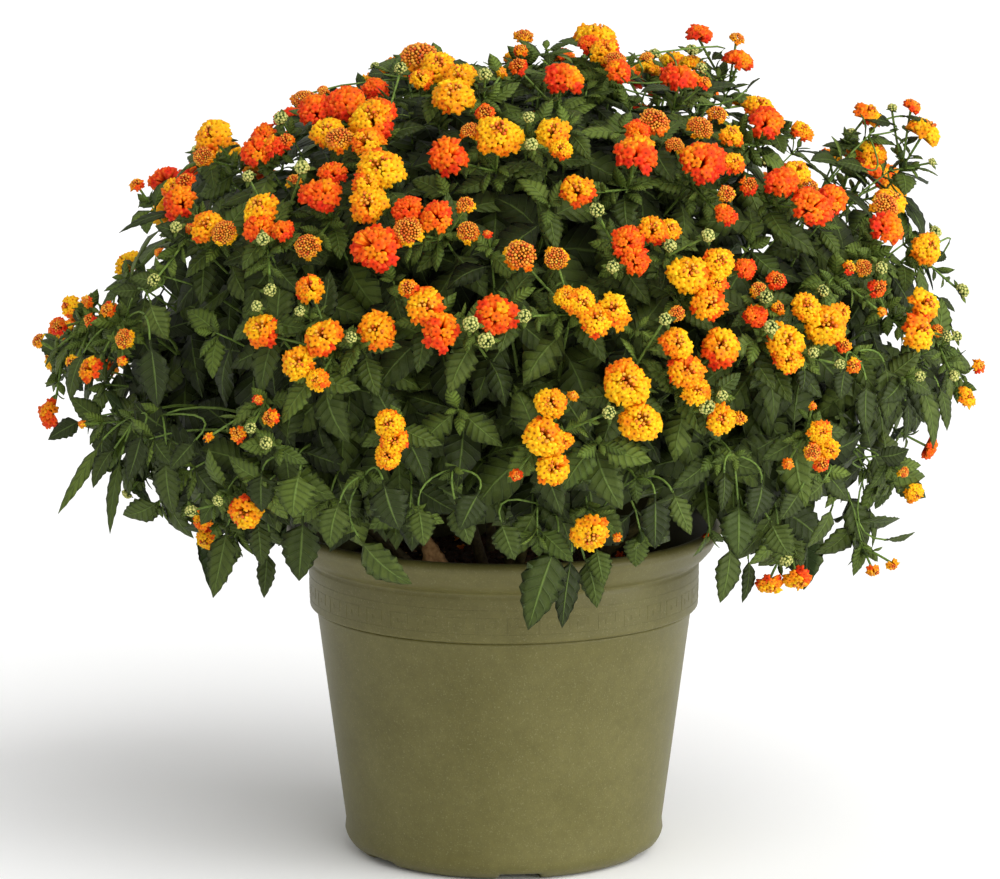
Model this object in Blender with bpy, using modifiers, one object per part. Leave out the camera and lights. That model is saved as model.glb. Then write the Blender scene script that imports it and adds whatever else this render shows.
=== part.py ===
# A potted lantana: a round shrub of leafy stems and many small flower heads, in a moulded plastic pot.
# Metres, +Z up. The origin is the middle of the pot's foot, on the surface that it stands on, and the
# front of the plant faces -Y. The plant is grown by rule from the front chart and from the crown's half
# axes; the pot and its soil are turned from profiles.

import math
import random

import bmesh
import bpy
import numpy as np
from mathutils import Matrix
from mathutils.bvhtree import BVHTree

# Driving dimensions of the pot.
POT_RIM = 0.1526
POT_BAND = 0.1370
POT_SIDE_TOP = 0.1316
POT_SIDE_LOW = 0.1120
POT_FOOT = 0.0980
POT_HEIGHT = 0.2325
POT_WALL = 0.0030
POT_SIDES = 32
FOOT_RAISE = 0.0060
FOOT_PADS = 6
FOOT_TURN = math.radians(-84)
CHANNEL_OUT = 0.0820
CHANNEL_IN = 0.0700
NOTCH = (0.040, 0.026)
NOTCH_REACH = 0.104
DRAIN = 0.0042
DRAIN_TURN = math.radians(-33.6)

# Pieces that touch neither overlap nor share a face: they keep this far apart.
GAP = 0.0003

# The solids' own sizes: leaves and stalks are a little stouter than on the plant, to hold together.
LEAF_THICK = 0.0016
STALK_FOOT = 0.0014
STALK_TOP = 0.0011
CORE = 0.0030
SEAT_DEPTH = 0.002
DOME_TOP = 0.64
KEEP_LEAFY = 0.50
KEEP_BUNCH = 0.47
LEAF_DEPTH = 0.88
PLANTED_TOP = 0.2550
FIRM_GRID = 0.00002
# The front chart: one step is 0.7 mm where the upright plane through the pot's axis crosses a line of sight.
chart = {
    "step": 0.0007,
    "axis": 504,
    "middle": (500, 439.5),
    "eye": (-0.0028, -3.5, 0.93),
    "pitch": math.radians(10.35),
    "reach": 5080,
}
crown = {"centre": (0.002, 0.0, 0.335), "half": (0.328, 0.285), "up": 0.246, "down": 0.150}
root = {"point": (0.0, 0.0, 0.150), "ring": 8, "ringRise": 36, "top": 3, "topRise": 74}
stemForm = {
    "thick": (0.0044, 0.0026), "shoot": 0.0019, "clear": 0.0065, "reach": 0.050,
    "depth": 0.020, "sway": 0.006, "arch": 0.012,
}
pathCount = 9
stalkSteps = np.linspace(0, 1, 6)[:, None]
soilTop = 0.200
rimReach = 0.156
rimTop = 0.235

gold, amber, flame, opening, bud = range(5)

# Heads that touch form a bunch: across and down the chart, radius in steps, and the age of the florets.
frontBunches = (
    ((214, 138, 22, gold), (204, 157, 12, opening)),
    ((180, 202, 20, flame), (168, 177, 13, amber), (186, 182, 11, flame)),
    ((257, 151, 18, flame), (265, 130, 13, flame), (274, 146, 14, flame), (287, 141, 10, flame)),
    ((348, 106, 22, flame), (318, 112, 20, flame), (306, 102, 13, opening)),
    ((375, 127, 25, amber), (369, 149, 18, amber), (341, 147, 16, opening), (329, 139, 17, gold)),
    ((318, 191, 22, flame), (328, 170, 15, flame)),
    ((212, 225, 18, amber), (229, 232, 14, opening)),
    ((255, 213, 20, gold), (253, 230, 18, flame), (280, 234, 13, flame)),
    (
        (439, 68, 20, gold), (409, 53, 22, opening), (422, 79, 14, amber),
        (465, 80, 18, gold), (452, 100, 23, gold),
    ),
    ((386, 172, 24, gold), (372, 186, 16, amber), (374, 207, 20, gold)),
    ((433, 210, 18, flame), (403, 202, 16, flame), (404, 225, 16, opening), (373, 240, 25, flame)),
    ((323, 338, 20, amber), (297, 365, 18, gold), (318, 380, 12, gold)),
    ((428, 307, 20, amber), (411, 288, 11, amber), (443, 331, 20, flame)),
    ((503, 136, 25, gold), (475, 130, 11, opening)),
    ((552, 134, 19, gold), (560, 149, 12, gold)),
    (
        (596, 38, 22, gold), (584, 49, 13, flame), (609, 54, 16, amber),
        (622, 67, 12, opening), (624, 87, 15, flame),
    ),
    ((639, 158, 24, flame), (641, 117, 14, flame), (656, 126, 17, opening)),
    ((581, 303, 16, gold), (567, 298, 13, gold), (596, 320, 18, amber), (613, 311, 18, gold)),
    ((628, 243, 18, flame), (636, 261, 16, flame), (657, 229, 16, amber), (670, 230, 12, gold)),
    ((687, 271, 22, gold), (717, 260, 18, gold), (716, 280, 12, amber), (708, 301, 18, amber)),
    ((739, 61, 17, flame), (737, 39, 9, opening)),
    ((679, 77, 20, flame), (706, 82, 9, amber)),
    ((766, 123, 20, flame), (751, 92, 17, gold)),
    ((706, 166, 24, flame), (740, 168, 13, amber)),
    ((777, 183, 19, flame), (804, 163, 16, gold), (813, 213, 23, flame), (845, 194, 18, flame)),
    ((924, 132, 20, gold), (911, 105, 11, amber)),
    ((887, 228, 20, flame), (883, 201, 16, opening), (911, 183, 18, gold)),
    ((926, 249, 19, gold), (949, 255, 11, opening)),
    ((923, 305, 19, gold), (917, 335, 21, amber)),
    (
        (689, 369, 19, amber), (679, 341, 18, gold), (699, 389, 15, gold),
        (709, 403, 9, bud), (723, 416, 16, gold),
    ),
    ((785, 339, 20, gold), (788, 357, 16, amber)),
    ((823, 325, 23, gold), (804, 308, 16, gold), (838, 314, 12, gold)),
    ((624, 386, 24, gold), (639, 424, 22, gold)),
    ((545, 437, 21, gold), (552, 401, 16, gold), (562, 441, 12, gold), (554, 468, 18, gold)),
    ((390, 424, 16, gold), (394, 441, 15, amber), (388, 456, 14, gold)),
    ((820, 432, 13, gold), (811, 454, 10, opening), (830, 452, 12, gold), (821, 463, 10, flame)),
    ((797, 577, 17, amber), (770, 583, 15, amber)),
)
# Heads that stand alone, most of them small, unopened or going over.
frontSingles = (
    (448, 157, 21, flame), (262, 329, 19, amber), (375, 331, 20, amber), (494, 318, 22, flame),
    (563, 79, 21, flame), (577, 191, 18, amber), (520, 256, 17, opening), (868, 115, 17, amber),
    (873, 152, 18, gold), (720, 346, 21, amber), (590, 532, 20, gold), (246, 511, 19, amber),
    (137, 185, 9, amber), (176, 227, 7, bud), (190, 228, 6, flame), (159, 253, 6, amber),
    (154, 280, 7, bud), (280, 119, 8, bud), (248, 176, 7, bud), (267, 237, 8, bud), (309, 172, 9, bud),
    (293, 181, 8, opening), (323, 91, 7, opening), (270, 290, 7, bud), (375, 89, 15, flame),
    (406, 71, 7, bud), (482, 75, 8, bud), (482, 112, 11, flame), (465, 208, 10, opening),
    (463, 225, 12, opening), (526, 121, 7, bud), (530, 144, 8, bud), (524, 37, 11, opening),
    (521, 51, 9, amber), (518, 67, 11, flame), (502, 73, 6, gold), (647, 58, 8, opening),
    (597, 210, 8, bud), (556, 259, 13, opening), (482, 233, 5, flame), (613, 267, 7, bud),
    (698, 39, 16, flame), (702, 70, 6, bud), (700, 129, 14, opening), (717, 115, 11, opening),
    (731, 137, 14, gold), (802, 132, 13, amber), (670, 141, 10, opening), (723, 190, 10, opening),
    (726, 215, 13, flame), (809, 187, 11, opening), (757, 184, 11, flame), (892, 108, 6, bud),
    (932, 162, 5, bud), (671, 247, 7, bud), (711, 243, 8, bud), (745, 271, 12, flame),
    (757, 288, 10, opening), (766, 297, 7, bud), (776, 281, 11, flame), (865, 270, 10, opening),
    (881, 268, 7, bud), (876, 287, 11, flame), (849, 268, 8, amber), (70, 306, 12, gold),
    (59, 327, 10, flame), (87, 301, 7, amber), (39, 341, 9, opening), (90, 320, 8, flame),
    (108, 310, 9, amber), (125, 339, 11, opening), (91, 370, 15, amber), (73, 363, 9, gold),
    (122, 361, 6, amber), (50, 414, 16, flame), (82, 424, 5, opening), (308, 247, 14, opening),
    (310, 289, 16, amber), (257, 308, 6, bud), (300, 311, 6, bud), (258, 400, 6, flame),
    (271, 418, 10, amber), (238, 434, 9, amber), (251, 428, 6, bud), (266, 443, 7, bud),
    (208, 437, 5, amber), (203, 519, 12, amber), (206, 539, 12, gold), (191, 511, 7, bud),
    (218, 501, 6, bud), (353, 337, 6, bud), (469, 325, 9, bud), (486, 338, 9, bud), (524, 316, 8, bud),
    (611, 409, 7, bud), (571, 396, 6, gold), (516, 475, 7, flame), (617, 538, 5, amber),
    (677, 314, 9, opening), (668, 324, 7, bud), (757, 317, 13, flame), (782, 308, 8, amber),
    (775, 331, 8, bud), (843, 345, 9, amber), (808, 352, 6, bud), (840, 364, 6, bud),
    (853, 366, 9, amber), (882, 312, 6, amber), (823, 291, 6, bud), (938, 331, 8, opening),
    (947, 336, 6, bud), (957, 336, 6, bud), (978, 366, 9, amber), (966, 397, 12, gold),
    (954, 376, 7, bud), (920, 376, 6, bud), (813, 406, 5, amber), (788, 464, 6, amber),
    (903, 472, 7, opening), (913, 493, 12, gold), (786, 560, 8, bud), (873, 570, 9, amber),
    (892, 564, 8, gold), (718, 397, 6, bud), (736, 418, 8, gold),
)
# Sprays that hang over the rim: each leaf from its base to its tip on the chart, and its width in steps.
frontHanging = (
    ((104, 438, 58, 514, 17), (116, 446, 93, 488, 24), (122, 452, 110, 534, 18), (143, 430, 128, 482, 28)),
    ((166, 456, 174, 515, 36), (196, 440, 170, 470, 24), (84, 420, 48, 440, 26)),
    (
        (228, 524, 213, 598, 31), (258, 520, 262, 566, 28),
        (268, 548, 264, 598, 22), (196, 500, 180, 520, 12),
    ),
    ((303, 516, 299, 581, 41), (262, 470, 262, 512, 34), (300, 470, 293, 518, 44)),
    ((358, 536, 412, 584, 40), (340, 500, 330, 548, 34), (383, 480, 400, 530, 40)),
    (
        (557, 540, 528, 630, 44), (572, 552, 562, 628, 27),
        (584, 556, 597, 608, 27), (500, 520, 515, 560, 30),
    ),
    ((596, 545, 604, 585, 26), (655, 494, 655, 549, 31), (672, 490, 691, 535, 23)),
    ((418, 505, 424, 546, 30), (455, 500, 470, 545, 30), (480, 490, 460, 530, 34)),
    ((738, 500, 738, 557, 40), (724, 470, 721, 512, 15), (762, 480, 752, 520, 34)),
    ((730, 543, 720, 603, 31), (748, 556, 742, 603, 16), (770, 520, 790, 556, 34)),
    (
        (833, 505, 806, 548, 26), (824, 480, 800, 500, 30),
        (855, 522, 851, 560, 38), (800, 490, 780, 520, 30),
    ),
    ((876, 456, 909, 449, 27), (884, 540, 915, 532, 18), (868, 505, 872, 548, 12)),
    ((884, 362, 886, 420, 38), (866, 380, 866, 434, 26), (845, 366, 840, 400, 26)),
    (
        (916, 378, 933, 449, 26), (938, 384, 947, 431, 23),
        (905, 398, 903, 442, 15), (948, 366, 940, 396, 20),
    ),
)
# Leaves that show against the sky along the top and the sides, in the same terms.
frontEdge = (
    ((182, 212, 119, 233, 15), (190, 240, 155, 226, 22)),
    ((546, 52, 571, 43, 12), (548, 52, 549, 66, 12)),
    (
        (858, 148, 822, 146, 20), (868, 170, 835, 163, 26),
        (895, 125, 862, 118, 24), (900, 116, 934, 124, 16),
    ),
    ((912, 168, 938, 176, 12), (900, 195, 920, 215, 16), (890, 170, 905, 160, 14)),
    ((142, 290, 111, 292, 20), (158, 285, 130, 278, 20)),
    ((60, 345, 45, 367, 10), (85, 350, 70, 400, 30), (150, 340, 158, 408, 38), (150, 300, 168, 340, 32)),
    ((386, 75, 368, 76, 26), (470, 92, 488, 90, 20), (722, 52, 712, 60, 14), (640, 62, 628, 52, 12)),
    ((676, 62, 666, 52, 14), (652, 60, 664, 68, 12), (745, 92, 760, 78, 12), (300, 100, 296, 108, 14)),
    ((935, 296, 955, 312, 14), (915, 262, 925, 318, 20), (945, 250, 935, 262, 12)),
)

headForm = {"sit": 0.35, "stalk": (0.016, 0.028), "bite": 0.3}
backRule = {"bunches": 10, "companions": (4, 4, 5, 5), "singles": 76}
leafForm = {"wide": 0.60, "stalk": 0.16}
shootRule = {"fillers": 130, "pairs": 5, "gap": 0.015, "gapGrowth": 1.28}


def unit(v):
    return v / max(np.linalg.norm(v), 1e-9)


# The line of sight through a spot of the chart: where it starts, and its direction.
def chartRay(across, down):
    tilt = chart["pitch"]
    ahead = np.array([0.0, math.cos(tilt), -math.sin(tilt)])
    rise = np.array([0.0, math.sin(tilt), math.cos(tilt)])
    side = (across - chart["middle"][0]) / chart["reach"]
    lift = (chart["middle"][1] - down) / chart["reach"]
    return np.array(chart["eye"]), unit(ahead + rise * lift + np.array([side, 0.0, 0.0]))


def crownHalf(height):
    return np.array([*crown["half"], crown["up"] if height >= crown["centre"][2] else crown["down"]])


# Where that line of sight meets the crown, an egg-shaped dome, or passes nearest to it.
def crownSpot(across, down, share=1.0):
    start, way = chartRay(across, down)
    centre = np.array(crown["centre"])
    spot = start
    for height in (centre[2] + 1, centre[2] - 1):
        half = crownHalf(height) * share
        o, d = (start - centre) / half, way / half
        dd, od = d @ d, o @ d
        inside = od * od - dd * (o @ o - 1)
        spot = start + way * ((-od - math.sqrt(max(inside, 0.0))) / dd)
        if spot[2] >= centre[2]:
            break
    return spot


# The same line of sight at a given depth y.
def chartSpot(across, down, depth):
    start, way = chartRay(across, down)
    return start + way * ((depth - start[1]) / way[1])


def outward(spot):
    return unit((spot - np.array(crown["centre"])) / crownHalf(spot[2]) ** 2)


# The crown's surface in a direction from its centre, both angles in degrees.
def crownAt(azimuth, rise, share=1.0):
    a, e = math.radians(azimuth), math.radians(rise)
    way = np.array([math.cos(a) * math.cos(e), math.sin(a) * math.cos(e), math.sin(e)])
    half = crownHalf(crown["centre"][2] + way[2])
    return np.array(crown["centre"]) + way * share / np.linalg.norm(way / half)


# The crown's top edge on the front chart, and the part of the pot's mouth that no twig of the rule covers.
skyline = np.array((
    (40, 330), (100, 290), (125, 250), (150, 200), (190, 135), (245, 145), (300, 95), (345, 92), (380, 55),
    (410, 45), (440, 50), (480, 68), (520, 40), (560, 42), (600, 24), (660, 55), (700, 35), (740, 32),
    (800, 112), (830, 135), (900, 95), (942, 135), (958, 245), (980, 330),
))
mouth = ((672, 500), (728, 574))


# Where a spot falls on the front chart.
def chartOf(spot):
    tilt = chart["pitch"]
    away = spot - np.array(chart["eye"])
    depth = away[..., 1] * math.cos(tilt) - away[..., 2] * math.sin(tilt)
    lift = away[..., 1] * math.sin(tilt) + away[..., 2] * math.cos(tilt)
    across = chart["middle"][0] + chart["reach"] * away[..., 0] / depth
    return across, chart["middle"][1] - chart["reach"] * lift / depth


# A spot on the crown, moved down its surface until it lies below the top edge by a given count of steps.
def underEdge(azimuth, rise, clear, share=1.0):
    spot = crownAt(azimuth, rise, share)
    across, down = chartOf(spot)
    while rise > -20 and down - clear < np.interp(across, *skyline.T):
        rise -= 3
        spot = crownAt(azimuth, rise, share)
        across, down = chartOf(spot)
    return spot


def overMouth(leaf):
    across, down = chartOf(leafMid(leaf, np.array([0.3, 0.5, 0.7, 1.0]))[0])
    inside = (across > mouth[0][0]) & (across < mouth[1][0]) & (down > mouth[0][1]) & (down < mouth[1][1])
    return leaf["kind"] != "hanging" and inside.any()


# How far to the front a spot lies, from 0 at the back to 1 in front, where the light comes from.
def frontness(spot):
    return min(max(0.6 - spot[1] / 0.25, 0.0), 1.0)


def headAt(spot, radius, age, draw, bunch):
    lean = np.array([0, -frontness(spot) * draw.uniform(0.3, 1.2), -0.25 if spot[2] < 0.24 else 0.35])
    axis = unit(outward(spot) + lean + shake(draw, 0.18))
    return {"at": spot, "axis": axis, "r": radius, "age": age, "bunch": bunch}


# Draws each head of a bunch in towards its nearest neighbour until the two overlap a little.
def touch(heads):
    for i in range(1, len(heads)):
        gaps = [np.linalg.norm(heads[i]["at"] - h["at"]) - heads[i]["r"] - h["r"] for h in heads[:i]]
        j = int(np.argmin(gaps))
        gap = gaps[j]
        excess = gap + headForm["bite"] * min(heads[i]["r"], heads[j]["r"])
        if excess > 0:
            heads[i]["at"] = heads[i]["at"] + unit(heads[j]["at"] - heads[i]["at"]) * excess


# Moves whole bunches apart until no two share any space.
def partBunches(bunches, rounds=60, clear=0.0018):
    at = np.array([h["at"] for b in bunches for h in b])
    r = np.array([h["r"] for b in bunches for h in b])
    owner = np.array([i for i, b in enumerate(bunches) for _ in b])
    for _ in range(rounds):
        away = at[:, None] - at[None]
        far = np.linalg.norm(away, axis=2) + 1e-9
        need = r[:, None] + r[None] + clear - far
        need[owner[:, None] == owner[None]] = 0
        need = np.maximum(need, 0)
        if need.max() <= 0:
            break
        push = (away / far[..., None] * need[..., None] * 0.5).sum(1)
        move = np.zeros((len(bunches), 3))
        np.add.at(move, owner, push)
        at = at + move[owner] / np.bincount(owner, minlength=len(bunches))[owner][:, None] ** 0.5
    for h, spot in zip((h for b in bunches for h in b), at):
        h["at"] = spot


# Every flower head: the charted ones in front, and the rest of the crown by rule.
def growHeads(draw):
    step = chart["step"]
    bunches, singles = [], []
    for row in frontBunches:
        bunches.append([headAt(crownSpot(x, y), r * step, age, draw, len(bunches)) for x, y, r, age in row])
    for x, y, r, age in frontSingles:
        share = 1.02 if age == bud else 0.98
        singles.append([headAt(crownSpot(x, y, share), r * step, age, draw, -1)])
    ages = (gold, gold, gold, amber, amber, flame, flame, opening)
    count = backRule["bunches"]
    charted = len(bunches)
    for k in range(count):
        azimuth = 16 + 150 * ((k * 0.618034 + 0.31) % 1.0)
        rise = -14 + 86 * ((k + 0.5) / count) ** 0.9
        middle = underEdge(azimuth, rise, 36)
        lead = headAt(middle, draw.uniform(0.0150, 0.0172), draw.choice(ages), draw, charted + k)
        side = unit(np.cross(lead["axis"], (0.3, 0.2, 1.0)))
        rest = np.cross(lead["axis"], side)
        bunch = [lead]
        turn = draw.uniform(0, 6.28)
        for j in range(draw.choice(backRule["companions"])):
            radius = draw.uniform(0.0095, 0.0155)
            reach = (lead["r"] + radius) * draw.uniform(0.95, 1.2)
            spot = middle + (side * math.cos(turn) + rest * math.sin(turn)) * reach
            spot = spot + outward(spot) * draw.uniform(-0.004, 0.002)
            bunch.append(headAt(spot, radius, draw.choice(ages), draw, charted + k))
            turn += draw.uniform(1.3, 2.0)
        bunches.append(bunch)
    for k in range(backRule["singles"]):
        azimuth = 4 + 172 * ((k * 0.754878 + 0.17) % 1.0)
        rise = -22 + 100 * ((k * 0.569840 + 0.43) % 1.0)
        small = k % 5 < 2
        radius = draw.uniform(0.0042, 0.0062) if small else draw.uniform(0.0085, 0.013)
        age = bud if small else draw.choice(ages)
        spot = underEdge(azimuth, rise, radius / step, 1.01 if small else 0.98)
        singles.append([headAt(spot, radius, age, draw, -1)])
    for bunch in bunches:
        touch(bunch)
    partBunches(bunches + singles)
    return bunches, [s[0] for s in singles]


# The stems that stand in the soil: a ring that leans out and a few upright ones, from one root point.
def mainStems():
    stems = []
    for count, rise, turn, reach in (
        (root["ring"], root["ringRise"], 10, 0.60),
        (root["top"], root["topRise"], 50, 0.62),
    ):
        for k in range(count):
            a, e = math.radians(turn + 360 * k / count), math.radians(rise)
            way = np.array([math.cos(a) * math.cos(e), math.sin(a) * math.cos(e), math.sin(e)])
            start = np.array(root["point"])
            end = start + way * 0.9
            span = crownAt(math.degrees(a), 28 if rise < 60 else 80)
            far = np.linalg.norm(span - start) * reach
            side = np.array([-math.sin(a), math.cos(a), 0.0])
            t = np.linspace(0.0, 1.0, pathCount)
            low = (soilTop - stemForm["depth"] - start[2]) / way[2]
            along = low + (far - low) * t
            bow = np.sin(t * math.pi)[:, None]
            sway = side * stemForm["sway"] * (1 if k % 2 else -1)
            if rise < 60:
                sway = sway + np.array([0, 0, stemForm["arch"]])
            path = start + way * along[:, None] + sway * bow
            thick = np.linspace(*stemForm["thick"], pathCount)
            stems.append({"path": path, "thick": thick, "way": way, "group": len(stems)})
    return stems


# A cubic curve from p to q that leaves and arrives in the given directions.
def bend(p, q, startWay, endWay, lift=0.0):
    far = np.linalg.norm(q - p)
    a = p + startWay * far * 0.38 + np.array([0, 0, lift])
    b = q - endWay * far * 0.34 + np.array([0, 0, lift])
    t = np.linspace(0, 1, pathCount)[:, None]
    return p * (1 - t) ** 3 + a * 3 * t * (1 - t) ** 2 + b * 3 * t**2 * (1 - t) + q * t**3


def clearOfPot(path):
    over = np.hypot(path[:, 0], path[:, 1])
    low = (over > 0.132) & (over < rimReach + 0.008) & (path[:, 2] < rimTop + 0.008)
    inside = (over <= 0.132) & (path[:, 2] < soilTop + 0.004)
    wall = (over < rimReach + 0.002) & (path[:, 2] < rimTop)
    return not (low | inside | (wall & (over > 0.130))).any()


# How often a path comes too near to another stem's shoots, to a head that it doesn't carry, or to the pot.
def crossings(path, group, placed, heads, own, reach=0.0):
    bad = 0 if clearOfPot(path) else 50
    for other in placed:
        if other["group"] != group:
            gap = np.linalg.norm(path[:, None] - other["path"][None], axis=2).min()
            bad += gap < stemForm["clear"]
    for head in heads:
        if not any(head is h for h in own):
            bad += np.linalg.norm(path - head["at"], axis=1).min() < head["r"] + stemForm["clear"] / 3
    return bad


# A shoot from the nearest main stem to its tip, bent clear of the others and of the pot's rim.
def shootTo(tip, tipWay, stems, placed, heads, own, draw, thick=0.0015):
    way = unit(tip - np.array(root["point"]))
    group = max(range(len(stems)), key=lambda i: stems[i]["way"] @ way)
    run = stems[group]["path"]
    steps = np.arange(pathCount)
    best = None
    for attempt in range(16):
        share = draw.uniform(2.6, 7.2) if tip[2] > 0.26 else draw.uniform(4.0, 7.2)
        fork = np.array([np.interp(share, steps, run[:, i]) for i in range(3)])
        if np.linalg.norm(tip - fork) < 0.035:
            share = draw.uniform(1.6, 3.0)
            fork = np.array([np.interp(share, steps, run[:, i]) for i in range(3)])
        lift = 0.0 if tip[2] > 0.30 else (0.30 - tip[2]) * 0.75 + 0.01
        lift += draw.uniform(-0.012, 0.012) * min(attempt, 3)
        stray = np.array([draw.uniform(-1, 1), draw.uniform(-1, 1), 0.4])
        leave = unit(unit(run[-1] - run[0]) + (way + stray) * 0.6)
        path = bend(fork, tip, leave, tipWay, lift)
        bad = crossings(path[1:], group, placed, heads, own)
        if best is None or bad < best[0]:
            best = (bad, path)
        if bad == 0:
            break
    wide = np.linspace(stemForm["shoot"], thick, pathCount)
    shoot = {"path": best[1], "thick": wide, "group": group, "kind": "bloom"}
    placed.append(shoot)
    return shoot


def shake(draw, reach):
    return np.array([draw.uniform(-reach, reach) for _ in range(3)])


def leafOn(base, way, face, length, width, curl, shoot, kind, draw):
    way = unit(way)
    face = unit(face - way * (face @ way))
    fold = draw.uniform(0.10, 0.34)
    return {
        "base": base, "way": way, "face": face, "length": length, "width": width, "curl": curl,
        "fold": fold, "group": shoot["group"], "kind": kind, "on": shoot,
        "pair": 0, "foot": base, "seed": draw.random(),
    }


# The midrib at a share of its length: an arc that curls away from the leaf's face.
def leafMid(leaf, share):
    c = leaf["curl"] if abs(leaf["curl"]) > 1e-3 else 1e-3
    s = np.asarray(share, float)[..., None]
    ahead, sink = np.sin(c * s) / c, (1 - np.cos(c * s)) / c
    spot = leaf["base"] + leaf["length"] * (leaf["way"] * ahead - leaf["face"] * sink)
    face = leaf["face"] * np.cos(c * s) + leaf["way"] * np.sin(c * s)
    return spot, face


# Opposite pairs, each turned a quarter from the last, with longer leaves and gaps further from the tip.
def leavesAlong(shoot, pairs, scale, draw, leaves, kind, crowd=1.0):
    path = shoot["path"]
    steps = np.linalg.norm(np.diff(path, axis=0), axis=1)
    run = np.concatenate([[0], np.cumsum(steps)])
    back, gap = 0.004, shootRule["gap"] * crowd
    spin = draw.uniform(0, math.pi)
    for k in range(pairs):
        along = run[-1] - back
        if along < 0.25 * run[-1]:
            break
        spot = np.array([np.interp(along, run, path[:, i]) for i in range(3)])
        ahead = np.array([np.interp(min(along + 0.004, run[-1]), run, path[:, i]) for i in range(3)])
        axis = unit(ahead - spot) if along + 0.004 < run[-1] else unit(path[-1] - path[-2])
        side = unit(np.cross(axis, (0.31, 0.23, 0.92)))
        other = np.cross(axis, side)
        size = (0.030, 0.040, 0.047, 0.050, 0.050, 0.048)[min(k, 5)] * scale
        out = outward(spot)
        for half in (0, math.pi):
            turn = spin + half + draw.uniform(-0.25, 0.25)
            radial = side * math.cos(turn) + other * math.sin(turn)
            spread = (0.75, 1.0, 1.15, 1.25, 1.3, 1.3)[min(k, 5)] + draw.uniform(-0.15, 0.15)
            length = size * draw.uniform(0.84, 1.16)
            wish = axis * math.cos(spread) + radial * math.sin(spread) + np.array([0, 0, -0.25 - 0.12 * k])
            light = np.array([0, -0.40 * frontness(spot), 0.36])
            face = unit(out * 0.55 + light + axis * 0.18 + shake(draw, 0.42))
            way = unit(wish - face * (wish @ face) * 0.72)
            curl = draw.uniform(0.25, 0.95) + (0.25 if k > 1 else 0)
            width = length * leafForm["wide"] * draw.uniform(0.9, 1.1)
            leaf = leafOn(spot, way, face, length * 1.12, width, curl, shoot, kind, draw)
            leaf["pair"] = k
            if potFree(leaf):
                leaves.append(leaf)
        spin += math.pi / 2 + draw.uniform(-0.15, 0.15)
        back += gap
        gap *= shootRule["gapGrowth"]


def potFree(leaf):
    spots, _ = leafMid(leaf, np.array([0.35, 0.6, 0.8, 1.0]))
    over = np.hypot(spots[:, 0], spots[:, 1])
    inPot = (over < rimReach + 0.006) & (spots[:, 2] < rimTop + 0.004)
    inSoil = spots[:, 2] < soilTop + 0.010
    return not (inPot & ((over > 0.125) | inSoil)).any() and not (spots[:, 2] < 0.02).any()


# A twig with the charted leaves at its end, each on a stalk of its own.
def hangingSpray(row, stems, placed, heads, draw, leaves, kind, share):
    bases = []
    for bx, by, tx, ty, w in row:
        bases.append(crownSpot(bx, by, share))
    tip = np.mean(bases, axis=0) - outward(np.mean(bases, axis=0)) * 0.012
    tip[2] += 0.012
    if math.hypot(tip[0], tip[1]) < rimReach + 0.02:
        tip[2] = max(tip[2], rimTop + 0.02)
    lean = unit(outward(tip) + np.array([0, 0, -0.3]))
    shoot = shootTo(tip, lean, stems, placed, heads, [], draw, 0.0014)
    for (bx, by, tx, ty, w), base in zip(row, bases):
        end = chartSpot(tx, ty, base[1] - 0.004)
        curl = draw.uniform(0.35, 0.7)
        chord = end - base
        out = outward(base)
        face = unit(out + np.array([0, -0.35, 0.25]) + shake(draw, 0.15))
        face = unit(face - unit(chord) * (face @ unit(chord)))
        way = unit(chord) * math.cos(curl / 2) + face * math.sin(curl / 2)
        length = np.linalg.norm(chord) * (curl / 2) / math.sin(curl / 2)
        leaf = leafOn(base, way, face, length, w * chart["step"], curl, shoot, kind, draw)
        leaf["foot"] = shoot["path"][-1]
        if potFree(leaf):
            leaves.append(leaf)
    return shoot


# Where a tip's nearest main stem is, by direction from the root point.
def nearestStem(tip, stems):
    way = unit(tip - np.array(root["point"]))
    return max(range(len(stems)), key=lambda i: stems[i]["way"] @ way)


# A lone head grows from the nearest shoot tip that it can reach, or else on a shoot of its own.
def joinSingle(head, stems, placed, heads, shoots, draw, leaves):
    want = head["at"] - head["axis"] * (head["r"] + 0.014)
    near = sorted(range(len(shoots)), key=lambda i: np.linalg.norm(shoots[i]["path"][-1] - want))
    for i in near[:6]:
        tip = shoots[i]["path"][-1]
        if np.linalg.norm(tip - want) > stemForm["reach"]:
            break
        stalk = tip + (head["at"] - tip) * stalkSteps
        if crossings(stalk[1:], shoots[i]["group"], placed, heads, [head]) == 0:
            head["from"] = tip
            head["on"] = shoots[i]
            head["group"] = shoots[i]["group"]
            placed.append({"path": stalk, "group": head["group"]})
            return
    rise = unit(head["axis"] + outward(want) * 0.4)
    shoot = shootTo(want, rise, stems, placed, heads, [head], draw, 0.0013)
    shoots.append(shoot)
    head["from"] = want
    head["on"] = shoot
    head["group"] = shoot["group"]
    placed.append({"path": want + (head["at"] - want) * stalkSteps, "group": shoot["group"]})
    leavesAlong(shoot, 3, draw.uniform(0.72, 0.95), draw, leaves, "shoot")


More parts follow.
